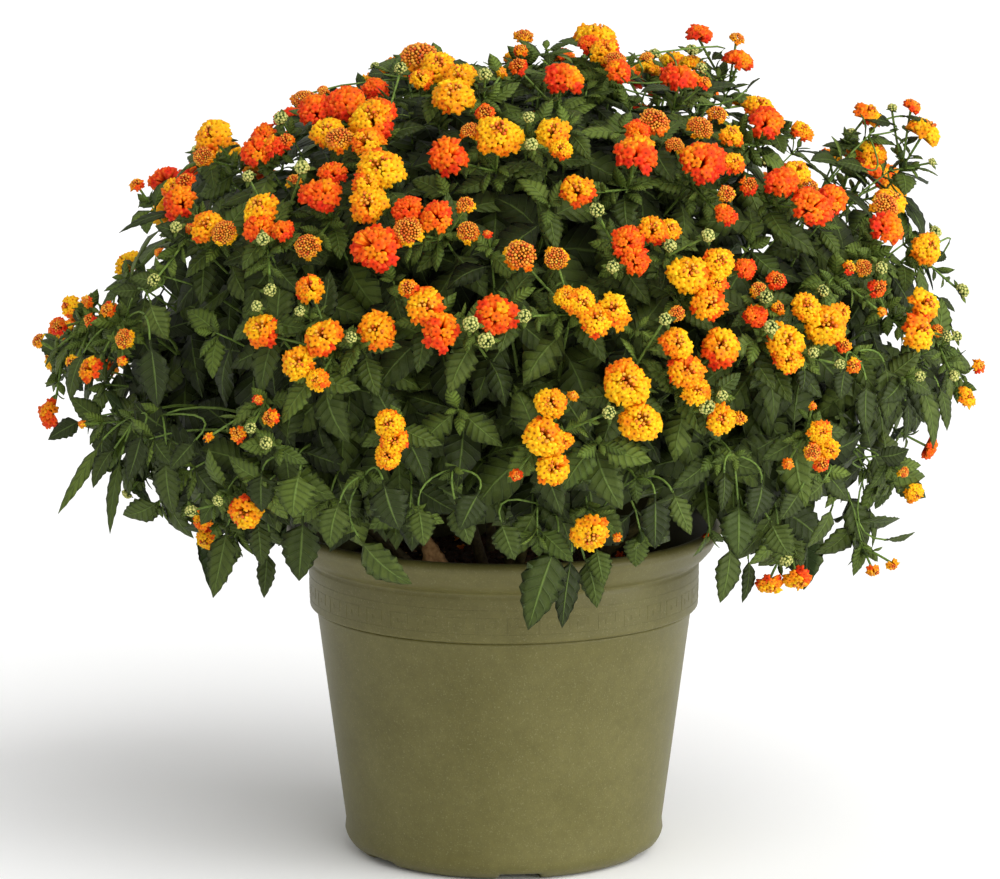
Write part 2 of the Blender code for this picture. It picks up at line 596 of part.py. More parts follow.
# The whole lantana: stems, shoots, heads with their stalks, and leaves.
def growPlant(seed=7):
    draw = random.Random(seed)
    bunches, singles = growHeads(draw)
    heads = [h for b in bunches for h in b] + singles
    stems = mainStems()
    placed = list(stems)
    leaves, shoots = [], []
    for bunch in bunches:
        lead = bunch[0]
        best = None
        for attempt in range(12):
            axis = unit(lead["axis"] + shake(draw, 0.10 * attempt))
            tip = lead["at"] - axis * (lead["r"] * headForm["sit"] + draw.uniform(*headForm["stalk"]))
            stalk = tip + (lead["at"] - tip) * stalkSteps
            bad = crossings(stalk, nearestStem(tip, stems), placed, heads, bunch)
            if best is None or bad < best[0]:
                best = (bad, axis, tip)
            if bad == 0:
                break
        _, lead["axis"], tip = best
        shoot = shootTo(tip, unit(lead["axis"] + outward(tip) * 0.4), stems, placed, heads, bunch, draw)
        shoots.append(shoot)
        stalk = tip + (lead["at"] - tip) * stalkSteps
        placed.append({"path": stalk, "group": shoot["group"]})
        for head in bunch:
            head["from"] = tip
            head["group"] = shoot["group"]
        leavesAlong(shoot, 4, draw.uniform(0.92, 1.08), draw, leaves, "shoot")
    for head in singles:
        joinSingle(head, stems, placed, heads, shoots, draw, leaves)
    for row in frontHanging:
        shoots.append(hangingSpray(row, stems, placed, heads, draw, leaves, "hanging", 0.94))
    for row in frontEdge:
        shoots.append(hangingSpray(row, stems, placed, heads, draw, leaves, "edge", 0.97))
    backHanging(stems, placed, heads, draw, leaves, shoots)
    for k in range(shootRule["fillers"]):
        azimuth = 360 * ((k * 0.618034 + 0.05) % 1.0)
        rise = -24 + 106 * ((k * 0.754878 + 0.37) % 1.0)
        tip = underEdge(azimuth, rise, 14, draw.uniform(0.84, 0.97))
        if np.hypot(tip[0], tip[1]) < rimReach + 0.02:
            tip[2] = max(tip[2], rimTop + 0.02)
        shoot = shootTo(tip, outward(tip), stems, placed, heads, [], draw, 0.0013)
        shoot["kind"] = "filler"
        shoots.append(shoot)
        leavesAlong(shoot, shootRule["pairs"], draw.uniform(0.9, 1.12), draw, leaves, "filler")
    leaves = [leaf for leaf in leaves if not overMouth(leaf)]
    return {
        "stems": stems, "shoots": shoots, "bunches": bunches, "singles": singles, "leaves": leaves,
    }


# The skirt round the back, where big leaves hang over the rim in the same way.
def backHanging(stems, placed, heads, draw, leaves, shoots):
    for k in range(13):
        azimuth = 2 + 176 * k / 12 + draw.uniform(-4, 4)
        tip = crownAt(azimuth, -26, 0.93)
        lean = unit(outward(tip) + np.array([0, 0, -0.3]))
        shoot = shootTo(tip, lean, stems, placed, heads, [], draw, 0.0014)
        shoots.append(shoot)
        out = outward(tip)
        across = unit(np.cross(out, (0, 0, 1)))
        for spread in (-0.8, -0.1, 0.7):
            base = tip + across * spread * 0.012
            way = unit(np.array([0, 0, -1.0]) + across * spread * 0.7 + out * draw.uniform(0.25, 0.6))
            face = unit(out + np.array([0, 0, 0.2]) + across * draw.uniform(-0.3, 0.3))
            length = draw.uniform(0.040, 0.058)
            curl = draw.uniform(0.3, 0.7)
            leaf = leafOn(base, way, face, length, length * 0.52, curl, shoot, "hanging", draw)
            leaf["foot"] = shoot["path"][-1]
            if potFree(leaf):
                leaves.append(leaf)


for old in list(bpy.data.objects):
    bpy.data.objects.remove(old, do_unlink=True)

plantSet = bpy.data.collections.new("lantana")
bpy.context.scene.collection.children.link(plantSet)
cutterSet = bpy.data.collections.new("cutters")
bpy.context.scene.collection.children.link(cutterSet)


def finish(name, colour, roughness):
    made = bpy.data.materials.new(name)
    made.use_nodes = True
    shader = made.node_tree.nodes["Principled BSDF"]
    shader.inputs["Base Color"].default_value = (*colour, 1.0)
    shader.inputs["Roughness"].default_value = roughness
    shader.inputs["Metallic"].default_value = 0.0
    return made


potFinish = finish("olive_plastic", (0.145, 0.140, 0.062), 0.55)
soilFinish = finish("potting_soil", (0.040, 0.022, 0.012), 0.95)
leafFinish = finish("lantana_green", (0.060, 0.110, 0.022), 0.70)
petalFinish = {
    gold: finish("gold_florets", (0.92, 0.42, 0.02), 0.60),
    amber: finish("amber_florets", (0.88, 0.20, 0.02), 0.60),
    flame: finish("flame_florets", (0.80, 0.07, 0.01), 0.60),
}


def objectFrom(name, shape, material=None, home=plantSet):
    mesh = bpy.data.meshes.new(name)
    shape.to_mesh(mesh)
    shape.free()
    if material:
        mesh.materials.append(material)
    made = bpy.data.objects.new(name, mesh)
    home.objects.link(made)
    return made


def sideways(axis):
    side = unit(np.cross(axis, (0.31, 0.23, 0.92)))
    return side, np.cross(axis, side)


# A closed body lofted through rings of equal count, first to last, with a flat cap on the first and on
# the last, or a point where the last is a single spot.
def loft(rings):
    shape = bmesh.new()
    rows = [[shape.verts.new(spot) for spot in ring] for ring in rings]
    for low, high in zip(rows, rows[1:]):
        for i in range(len(low)):
            j = (i + 1) % len(low)
            if len(high) == 1:
                shape.faces.new((low[i], low[j], high[0]))
            else:
                shape.faces.new((low[i], low[j], high[j], high[i]))
    shape.faces.new(rows[0][::-1])
    if len(rows[-1]) > 1:
        shape.faces.new(rows[-1])
    bmesh.ops.triangulate(shape, faces=shape.faces[:])
    return shape


# A round stem along a path, with one radius for each point.
def tube(path, thick, sides):
    rings = []
    turn = np.arange(sides) * 2 * math.pi / sides
    ways = np.gradient(np.asarray(path), axis=0)
    side = sideways(unit(ways[0]))[0]
    for spot, way, radius in zip(path, ways, thick):
        way = unit(way)
        side = unit(side - way * (side @ way))
        other = np.cross(way, side)
        rings.append([spot + radius * (side * math.cos(a) + other * math.sin(a)) for a in turn])
    return loft(rings)


# A flower head's rings as (lift, reach, swell), all in shares of its radius. Where swell isn't 0, each
# second point stands out and lies back by that much, for the florets round the edge.
seatLevel = (-headForm["sit"], 0.20, 0.0)
domeLevels = (seatLevel, (-0.10, 0.94, 0.075), (0.36, 0.74, -0.10))
tinyLevels = (seatLevel, (0.05, 0.94, 0.08))


# Rings of a flower head, seat first, up to the point on top of its dome.
def headRings(head, sides, levels):
    axis, r = head["axis"], head["r"]
    side, other = sideways(axis)
    rings = []
    for lift, reach, swell in levels:
        ring = []
        for i in range(sides):
            a = (i + 0.5 * (swell != 0)) * 2 * math.pi / sides
            out = r * reach * (1 + swell * (-1) ** i)
            up = r * (lift - swell * 0.6 * (-1) ** i)
            ring.append(head["at"] + out * (side * math.cos(a) + other * math.sin(a)) + axis * up)
        rings.append(ring)
    return rings + [[head["at"] + axis * r * DOME_TOP]]


def bunchHead(head):
    sides = 8 if head["r"] > 0.0150 else 6 if head["r"] > 0.0100 else 5
    return loft(headRings(head, sides, domeLevels))


# A lone head with its own stalk, whose foot is sunk in the shoot that carries it.
def loneHead(head, foot):
    small = head["r"] < 0.0095
    rings = headRings(head, 5 if head["r"] > 0.0115 else 4, tinyLevels if small else domeLevels)
    seat = np.mean(rings[0], axis=0)
    way = unit(seat - foot)
    base = []
    for spot in rings[0]:
        off = unit(spot - seat - way * ((spot - seat) @ way))
        base.append(foot + off * STALK_TOP)
    return loft([base] + rings)


# Points along a blade's edge: share of its length, and reach to the side, cut in behind the first.
bladeEdge = ((0.30, 1.00), (0.50, 0.72), (0.66, 0.80))


# A leaf blade: an oval with cut edges, folded up along its midrib, thick at the rib and thin at the edge.
def leafShape(leaf, seat):
    shape = bmesh.new()
    half = leaf["width"] / 2
    across = np.cross(leaf["way"], leaf["face"])
    first = shape.verts.new(seat)
    last = shape.verts.new(leafMid(leaf, 1.0)[0])
    rib, face = leafMid(leaf, 0.5)
    ribs = {layer: shape.verts.new(rib + face * LEAF_THICK / 2 * layer) for layer in (1, -1)}
    for hand in (1, -1):
        edge = [first]
        for share, reach in bladeEdge:
            spot, face = leafMid(leaf, leafForm["stalk"] + (1 - leafForm["stalk"]) * share)
            out = half * reach
            edge.append(shape.verts.new(spot + hand * across * out + face * out * leaf["fold"]))
        edge.append(last)
        for layer in (1, -1):
            for low, high in zip(edge, edge[1:]):
                fan = (low, high, ribs[layer])
                shape.faces.new(fan if hand * layer > 0 else fan[::-1])
    bmesh.ops.recalc_face_normals(shape, faces=shape.faces[:])
    return shape


# A closed outline of (radius, height) points turned once round the upright axis.
def turned(name, outline, material):
    shape = bmesh.new()
    spots = [shape.verts.new((radius, 0.0, height)) for radius, height in outline]
    for low, high in zip(spots, spots[1:] + spots[:1]):
        shape.edges.new((low, high))
    made = objectFrom(name, shape, material)
    screw = made.modifiers.new("turn", "SCREW")
    screw.steps = POT_SIDES
    screw.render_steps = POT_SIDES
    screw.use_merge_vertices = True
    screw.merge_threshold = 0.0001
    return made


def cutter(name, shape):
    made = objectFrom(name, shape, home=cutterSet)
    made.hide_render = True
    made.display_type = "WIRE"
    return made


def cutBy(target, tool):
    cut = target.modifiers.new(tool.name, "BOOLEAN")
    cut.operation = "DIFFERENCE"
    cut.object = tool
    cut.solver = "EXACT"


# The pot's inner wall from the floor up, as (radius, height).
innerWall = (
    (0.1020, FOOT_RAISE + POT_WALL),
    (POT_SIDE_LOW - POT_WALL, 0.0240),
    (POT_SIDE_TOP - POT_WALL, 0.1760),
    (POT_BAND - POT_WALL, 0.2080),
    (POT_RIM - 0.0051, POT_HEIGHT),
)


# The pot stands on six pads: a channel runs round under its foot, notches part the pads and six drain
# holes open into the channel.
def makePot():
    outer = (
        (0.1500, POT_HEIGHT),
        (POT_RIM, 0.2280),
        (POT_RIM - 0.0030, 0.2215),
        (POT_BAND - 0.0010, 0.2085),
        (POT_BAND, 0.2050),
        (POT_BAND - 0.0008, 0.1775),
        (POT_BAND - 0.0030, 0.1745),
        (POT_SIDE_TOP, 0.1710),
        (POT_SIDE_LOW, 0.0160),
        (POT_FOOT + 0.0080, 0.0045),
        (POT_FOOT, 0.0),
    )
    channel = (
        (CHANNEL_OUT, 0.0),
        (CHANNEL_OUT, FOOT_RAISE),
        (CHANNEL_IN, FOOT_RAISE),
        (CHANNEL_IN, 0.0),
        (0.0, 0.0),
    )
    pot = turned("pot", outer + channel + ((0.0, FOOT_RAISE + POT_WALL),) + innerWall, potFinish)
    notches = bmesh.new()
    drains = bmesh.new()
    for k in range(FOOT_PADS):
        turn = 2 * math.pi * k / FOOT_PADS
        block = bmesh.ops.create_cube(notches, size=1.0)["verts"]
        bmesh.ops.scale(notches, vec=(*NOTCH, 2 * (FOOT_RAISE - 0.0004)), verts=block)
        bmesh.ops.translate(notches, vec=(NOTCH_REACH, 0, 0), verts=block)
        bmesh.ops.rotate(notches, matrix=Matrix.Rotation(FOOT_TURN + turn, 3, "Z"), verts=block)
        hole = bmesh.ops.create_cone(
            drains, cap_ends=True, segments=8, radius1=DRAIN, radius2=DRAIN, depth=POT_WALL * 2
        )["verts"]
        middle = ((CHANNEL_OUT + CHANNEL_IN) / 2, 0, FOOT_RAISE + POT_WALL / 2)
        bmesh.ops.translate(drains, vec=middle, verts=hole)
        bmesh.ops.rotate(drains, matrix=Matrix.Rotation(DRAIN_TURN + turn, 3, "Z"), verts=hole)
    cutBy(pot, cutter("foot_notches", notches))
    cutBy(pot, cutter("drain_holes", drains))


# The soil fills the pot to its surface, a hair clear of the wall, with a hole where each stem stands.
def makeSoil(stems):
    clear = GAP * 1.2
    edge = soilTop - 0.0030
    edgeReach = np.interp(edge, [z for _, z in innerWall], [r for r, _ in innerWall]) - clear
    walls = tuple((radius - clear, height + clear) for radius, height in innerWall[:3])
    floor = FOOT_RAISE + POT_WALL + clear
    top = ((0.0, soilTop + 0.0010), (0.0700, soilTop), (edgeReach, edge))
    soil = turned("soil", top + walls[::-1] + ((0.0, floor),), soilFinish)
    for stem in stems:
        path = stem["path"][::2]
        way = unit(path[1] - path[0])
        reach = [path[0] - way * GAP * 2, path[1]]
        wide = [radius + GAP * 2 for radius in stem["thick"][0:3:2]]
        cutBy(soil, cutter("hole_" + str(stem["group"]), tube(reach, wide, 4)))


# What has been placed so far, each with its group, its role and a hull that is larger by the gap.
grown = []
# Roles whose points are all kept when a node is thinned, and single points that are kept too.
firmRoles = ("leaf", "stalk", "shoot", "stem")
underside = set()


# True where the shape keeps clear of all that is placed, but for the roles of its own group that it may meet.
def keepsClear(shape, group, meets):
    shape.verts.index_update()
    spots = np.array([v.co for v in shape.verts])
    low, high = spots.min(0), spots.max(0)
    tree = BVHTree.FromPolygons(spots, [[v.index for v in f.verts] for f in shape.faces])
    for other in grown:
        if other["group"] == group and other["role"] in meets:
            continue
        if (other["low"] > high).any() or (other["high"] < low).any():
            continue
        if tree.overlap(other["tree"]):
            return False
    return True


def place(shape, group, role):
    shape.verts.index_update()
    shape.normal_update()
    spots = np.array([v.co + v.normal * GAP for v in shape.verts])
    tree = BVHTree.FromPolygons(spots, [[v.index for v in f.verts] for f in shape.faces])
    low, high = spots.min(0), spots.max(0)
    grown.append({"group": group, "role": role, "shape": shape, "tree": tree, "low": low, "high": high})


def tryPlace(shape, group, role, meets):
    fits = keepsClear(shape, group, meets)
    if fits:
        place(shape, group, role)
    else:
        shape.free()
    return fits


def onGrid(spot):
    return tuple(round(value / FIRM_GRID) for value in spot)


# One Boolean union of a group's shapes, kept as one closed body. The joints are then thinned out, while
# blades, shoots and stalks keep every point, and so do the stems where they stand in the soil.
def fuse(name, pieces, material, keep):
    shapes = [piece["shape"] for piece in pieces]
    firm = {onGrid(v.co) for piece in pieces if piece["role"] in firmRoles for v in piece["shape"].verts}
    firm |= underside
    pile = bpy.data.collections.new(name + "_pieces")
    bpy.context.scene.collection.children.link(pile)
    first = objectFrom(name, shapes[0], material)
    rest = [objectFrom(name + "_piece", shape, material, pile) for shape in shapes[1:]]
    if rest:
        union = first.modifiers.new("union", "BOOLEAN")
        union.operation = "UNION"
        union.operand_type = "COLLECTION"
        union.collection = pile
        union.solver = "MANIFOLD"
        bpy.context.view_layer.update()
        whole = bpy.data.meshes.new_from_object(first.evaluated_get(bpy.context.evaluated_depsgraph_get()))
        first.modifiers.clear()
        first.data = whole
    for piece in rest:
        bpy.data.objects.remove(piece, do_unlink=True)
    bpy.data.collections.remove(pile)
    oneBody(first.data)
    thin = first.modifiers.new("thin", "DECIMATE")
    thin.ratio = keep
    thin.use_collapse_triangulate = True
    free = first.vertex_groups.new(name="free_to_thin")
    for v in first.data.vertices:
        planted = v.co.z < PLANTED_TOP and v.co.xy.length < POT_RIM
        if not planted and onGrid(v.co) not in firm:
            free.add([v.index], 1.0, "REPLACE")
    thin.vertex_group = free.name


# Drops loose scraps and the sealed hollows that fusing leaves: only the largest closed skin stays.
def oneBody(mesh):
    shape = bmesh.new()
    shape.from_mesh(mesh)
    bmesh.ops.dissolve_limit(shape, angle_limit=0.003, verts=shape.verts[:], edges=shape.edges[:])
    bmesh.ops.triangulate(shape, faces=shape.faces[:])
    left = set(shape.faces)
    skins = []
    while left:
        skin = [left.pop()]
        for face in skin:
            for edge in face.edges:
                for beside in edge.link_faces if len(edge.link_faces) == 2 else ():
                    if beside in left:
                        left.discard(beside)
                        skin.append(beside)
        volume = sum(f.verts[0].co.dot(f.verts[1].co.cross(f.verts[2].co)) for f in skin) / 6
        skins.append((volume, skin))
    skins.sort(key=lambda s: s[0])
    for _, skin in skins[:-1]:
        bmesh.ops.delete(shape, geom=skin, context="FACES")
    shape.to_mesh(mesh)
    shape.free()


# A shoot in two straight runs, or in three where it bends over the pot's rim.
def coarse(path):
    bent = path[-1][2] < 0.30
    return path[[0, 3, 6, 8]] if bent else path[[0, 4, 8]]


# A spot just inside a shoot's tip, where what it carries is rooted, a little deeper for each in turn.
def seatIn(shoot, k):
    end, before = coarse(shoot["path"])[:-3:-1]
    return end + unit(before - end) * SEAT_DEPTH * (1 + 0.45 * (k % 7))


# The nearest spot to a point on a path drawn with straight runs.
def nearestOn(path, spot):
    best = None
    for low, high in zip(path, path[1:]):
        share = np.clip((spot - low) @ (high - low) / ((high - low) @ (high - low)), 0, 1)
        found = low + (high - low) * share
        far = np.linalg.norm(found - spot)
        if best is None or far < best[0]:
            best = (far, found)
    return best[1]


# The heads of a bunch, each on a core to the first where it touches none before it. The underside of
# each keeps its points, so that the stalk stays clear of it.
def growBunch(bunch):
    group = ("bunch", bunch[0]["bunch"])
    trees = []
    for head in bunch:
        shape = bunchHead(head)
        for v in shape.verts:
            if (np.array(v.co) - head["at"]) @ head["axis"] < -0.3 * head["r"]:
                underside.add(onGrid(v.co))
        tree = BVHTree.FromBMesh(shape)
        if trees and not any(tree.overlap(other) for other in trees):
            place(tube([bunch[0]["at"], head["at"]], (CORE, CORE), 3), group, "head")
        trees.append(tree)
        place(shape, group, "head")


# How deep in the crown the middle of a leaf lies: 1 on the crown's surface, 0 at its centre.
def crownShare(leaf):
    spot = leafMid(leaf, 0.6)[0]
    return np.linalg.norm((spot - np.array(crown["centre"])) / crownHalf(spot[2]))


# Bunches come first, then stems, stalks, lone heads and the shoots that carry something, and last the
# leaves: what would cross a piece that is there already is left out.
def growSolids(plant):
    carried = ("stem", "shoot", "stalk", "bloom")
    for bunch in plant["bunches"]:
        growBunch(bunch)
    for stem in plant["stems"]:
        place(tube(stem["path"][::2], stem["thick"][::2], 4), stem["group"], "stem")
    for bunch in plant["bunches"]:
        head = bunch[0]
        seat = head["at"] - head["axis"] * (head["r"] * headForm["sit"] + GAP)
        foot = head["from"] - head["axis"] * SEAT_DEPTH
        tryPlace(tube([foot, seat], (STALK_FOOT, STALK_TOP), 3), head["group"], "stalk", carried)
    lone = [head for head in plant["singles"] if head["age"] != bud]
    for k, head in enumerate(lone):
        tryPlace(loneHead(head, seatIn(head["on"], k)), head["group"], "bloom", carried)
    hanging = [leaf for leaf in plant["leaves"] if leaf["kind"] in ("hanging", "edge")]
    carriers = [leaf["on"] for leaf in hanging] + [head["on"] for head in lone]
    carriers += [shoot for shoot in plant["shoots"] if shoot["kind"] == "bloom"]
    for shoot in plant["shoots"]:
        if any(shoot is carrier for carrier in carriers):
            path = coarse(shoot["path"])
            path[0] = nearestOn(plant["stems"][shoot["group"]]["path"][::2], path[0])
            shape = tube(path, np.linspace(shoot["thick"][0], shoot["thick"][-1], len(path)), 3)
            shoot["stands"] = tryPlace(shape, shoot["group"], "shoot", carried)
    for k, leaf in enumerate(hanging):
        if leaf["on"].get("stands"):
            tryPlace(leafShape(leaf, seatIn(leaf["on"], k)), leaf["group"], "leaf", ("stem", "shoot"))
    for leaf in plant["leaves"]:
        paired = leaf["kind"] == "shoot" and leaf["pair"] in (0, 1) and crownShare(leaf) > LEAF_DEPTH
        if paired and leaf["on"].get("stands"):
            seat = nearestOn(coarse(leaf["on"]["path"]), leaf["base"])
            tryPlace(leafShape(leaf, seat), leaf["group"], "leaf", ("stem", "shoot"))


plant = growPlant()
makePot()
makeSoil(plant["stems"])
growSolids(plant)
for k in range(len(plant["stems"])):
    pieces = [piece for piece in grown if piece["group"] == k]
    fuse("leafy_stem_%02d" % (k + 1), pieces, leafFinish, KEEP_LEAFY)
for k, bunch in enumerate(plant["bunches"]):
    pieces = [piece for piece in grown if piece["group"] == ("bunch", k)]
    fuse("bloom_bunch_%02d" % (k + 1), pieces, petalFinish[bunch[0]["age"]], KEEP_BUNCH)
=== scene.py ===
import math
import random
import bpy
import numpy as np
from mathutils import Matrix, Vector


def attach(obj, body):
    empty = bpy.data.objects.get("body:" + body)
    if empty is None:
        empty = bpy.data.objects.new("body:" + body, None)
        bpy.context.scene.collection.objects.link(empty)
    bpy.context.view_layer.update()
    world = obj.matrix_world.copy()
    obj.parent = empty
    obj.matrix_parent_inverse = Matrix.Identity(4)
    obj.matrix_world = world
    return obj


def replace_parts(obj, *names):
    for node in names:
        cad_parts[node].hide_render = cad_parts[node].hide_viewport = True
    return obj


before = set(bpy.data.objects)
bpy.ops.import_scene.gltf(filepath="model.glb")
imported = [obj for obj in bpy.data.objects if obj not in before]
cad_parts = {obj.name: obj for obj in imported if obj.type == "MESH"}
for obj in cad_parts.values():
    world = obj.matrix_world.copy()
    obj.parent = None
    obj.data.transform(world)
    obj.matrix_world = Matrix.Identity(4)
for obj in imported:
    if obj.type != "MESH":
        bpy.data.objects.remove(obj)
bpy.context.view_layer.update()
print("frame loaded,", len(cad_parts), "nodes")

# From here to growPlant, the same rule places every stem, leaf and head as in the solids.
# The front chart: one step is 0.7 mm where the upright plane through the pot's axis crosses a line of sight.
chart = {
    "step": 0.0007,
    "middle": (500, 439.5),  # where the line of sight straight ahead falls, across and down
    "eye": (-0.0028, -3.5, 0.93),
    "pitch": math.radians(10.35),  # how far that line dips
    "reach": 5080,  # steps across over distance, for a thing one distance away
    "wide": 1000,
}
# The crown's half axes across and deep, and up and down from its centre.
crown = {"centre": (0.002, 0.0, 0.335), "half": (0.328, 0.285), "up": 0.246, "down": 0.150}
# The point that all stems aim from, how many lean out and stand up, and how steeply.
root = {"point": (0.0, 0.0, 0.150), "ring": 8, "ringRise": 36, "top": 3, "topRise": 74}
stemForm = {
    "thick": (0.0044, 0.0026),  # radius of a main stem at its foot and its end
    "shoot": 0.0019,
    "clear": 0.0065,  # the least way between the paths of two stems' shoots
    "reach": 0.050,  # how far a lone head looks for a shoot to grow from
    "depth": 0.020,  # how deep a stem stands in the soil
    "sway": 0.006,
    "arch": 0.012,
}

# The camera stands where the chart is read from, 3.5 m in front of the plant, and looks slightly down.
lensData = bpy.data.cameras.new("plantView")
lensData.sensor_width = 36
lensData.lens = chart["reach"] / chart["wide"] * lensData.sensor_width
lensData.clip_start, lensData.clip_end = 0.1, 30
plantView = bpy.data.objects.new("plantView", lensData)
plantView.location = chart["eye"]
plantView.rotation_euler = (math.pi / 2 - chart["pitch"], 0, 0)
bpy.context.scene.collection.objects.link(plantView)
bpy.context.scene.camera = plantView
bpy.context.scene.view_settings.view_transform = "Standard"  # petals keep their full colour

pathCount = 9
stalkSteps = np.linspace(0, 1, 6)[:, None]
soilTop = 0.200
rimReach = 0.156
rimTop = 0.235

gold, amber, flame, opening, bud = range(5)

# Heads that touch form a bunch: across and down the chart, radius in steps, and the age of the florets.
frontBunches = (
    ((214, 138, 22, gold), (204, 157, 12, opening)),
    ((180, 202, 20, flame), (168, 177, 13, amber), (186, 182, 11, flame)),
    ((257, 151, 18, flame), (265, 130, 13, flame), (274, 146, 14, flame), (287, 141, 10, flame)),
    ((348, 106, 22, flame), (318, 112, 20, flame), (306, 102, 13, opening)),
    ((375, 127, 25, amber), (369, 149, 18, amber), (341, 147, 16, opening), (329, 139, 17, gold)),
    ((318, 191, 22, flame), (328, 170, 15, flame)),
    ((212, 225, 18, amber), (229, 232, 14, opening)),
    ((255, 213, 20, gold), (253, 230, 18, flame), (280, 234, 13, flame)),
    (
        (439, 68, 20, gold), (409, 53, 22, opening), (422, 79, 14, amber),
        (465, 80, 18, gold), (452, 100, 23, gold),
    ),
    ((386, 172, 24, gold), (372, 186, 16, amber), (374, 207, 20, gold)),
    ((433, 210, 18, flame), (403, 202, 16, flame), (404, 225, 16, opening), (373, 240, 25, flame)),
    ((323, 338, 20, amber), (297, 365, 18, gold), (318, 380, 12, gold)),
    ((428, 307, 20, amber), (411, 288, 11, amber), (443, 331, 20, flame)),
    ((503, 136, 25, gold), (475, 130, 11, opening)),
    ((552, 134, 19, gold), (560, 149, 12, gold)),
    (
        (596, 38, 22, gold), (584, 49, 13, flame), (609, 54, 16, amber),
        (622, 67, 12, opening), (624, 87, 15, flame),
    ),
    ((639, 158, 24, flame), (641, 117, 14, flame), (656, 126, 17, opening)),
    ((581, 303, 16, gold), (567, 298, 13, gold), (596, 320, 18, amber), (613, 311, 18, gold)),
    ((628, 243, 18, flame), (636, 261, 16, flame), (657, 229, 16, amber), (670, 230, 12, gold)),
    ((687, 271, 22, gold), (717, 260, 18, gold), (716, 280, 12, amber), (708, 301, 18, amber)),
    ((739, 61, 17, flame), (737, 39, 9, opening)),
    ((679, 77, 20, flame), (706, 82, 9, amber)),
    ((766, 123, 20, flame), (751, 92, 17, gold)),
    ((706, 166, 24, flame), (740, 168, 13, amber)),
    ((777, 183, 19, flame), (804, 163, 16, gold), (813, 213, 23, flame), (845, 194, 18, flame)),
    ((924, 132, 20, gold), (911, 105, 11, amber)),
    ((887, 228, 20, flame), (883, 201, 16, opening), (911, 183, 18, gold)),
    ((926, 249, 19, gold), (949, 255, 11, opening)),
    ((923, 305, 19, gold), (917, 335, 21, amber)),
    (
        (689, 369, 19, amber), (679, 341, 18, gold), (699, 389, 15, gold),
        (709, 403, 9, bud), (723, 416, 16, gold),
    ),
    ((785, 339, 20, gold), (788, 357, 16, amber)),
    ((823, 325, 23, gold), (804, 308, 16, gold), (838, 314, 12, gold)),
    ((624, 386, 24, gold), (639, 424, 22, gold)),
    ((545, 437, 21, gold), (552, 401, 16, gold), (562, 441, 12, gold), (554, 468, 18, gold)),
    ((390, 424, 16, gold), (394, 441, 15, amber), (388, 456, 14, gold)),
    ((820, 432, 13, gold), (811, 454, 10, opening), (830, 452, 12, gold), (821, 463, 10, flame)),
    ((797, 577, 17, amber), (770, 583, 15, amber)),
)
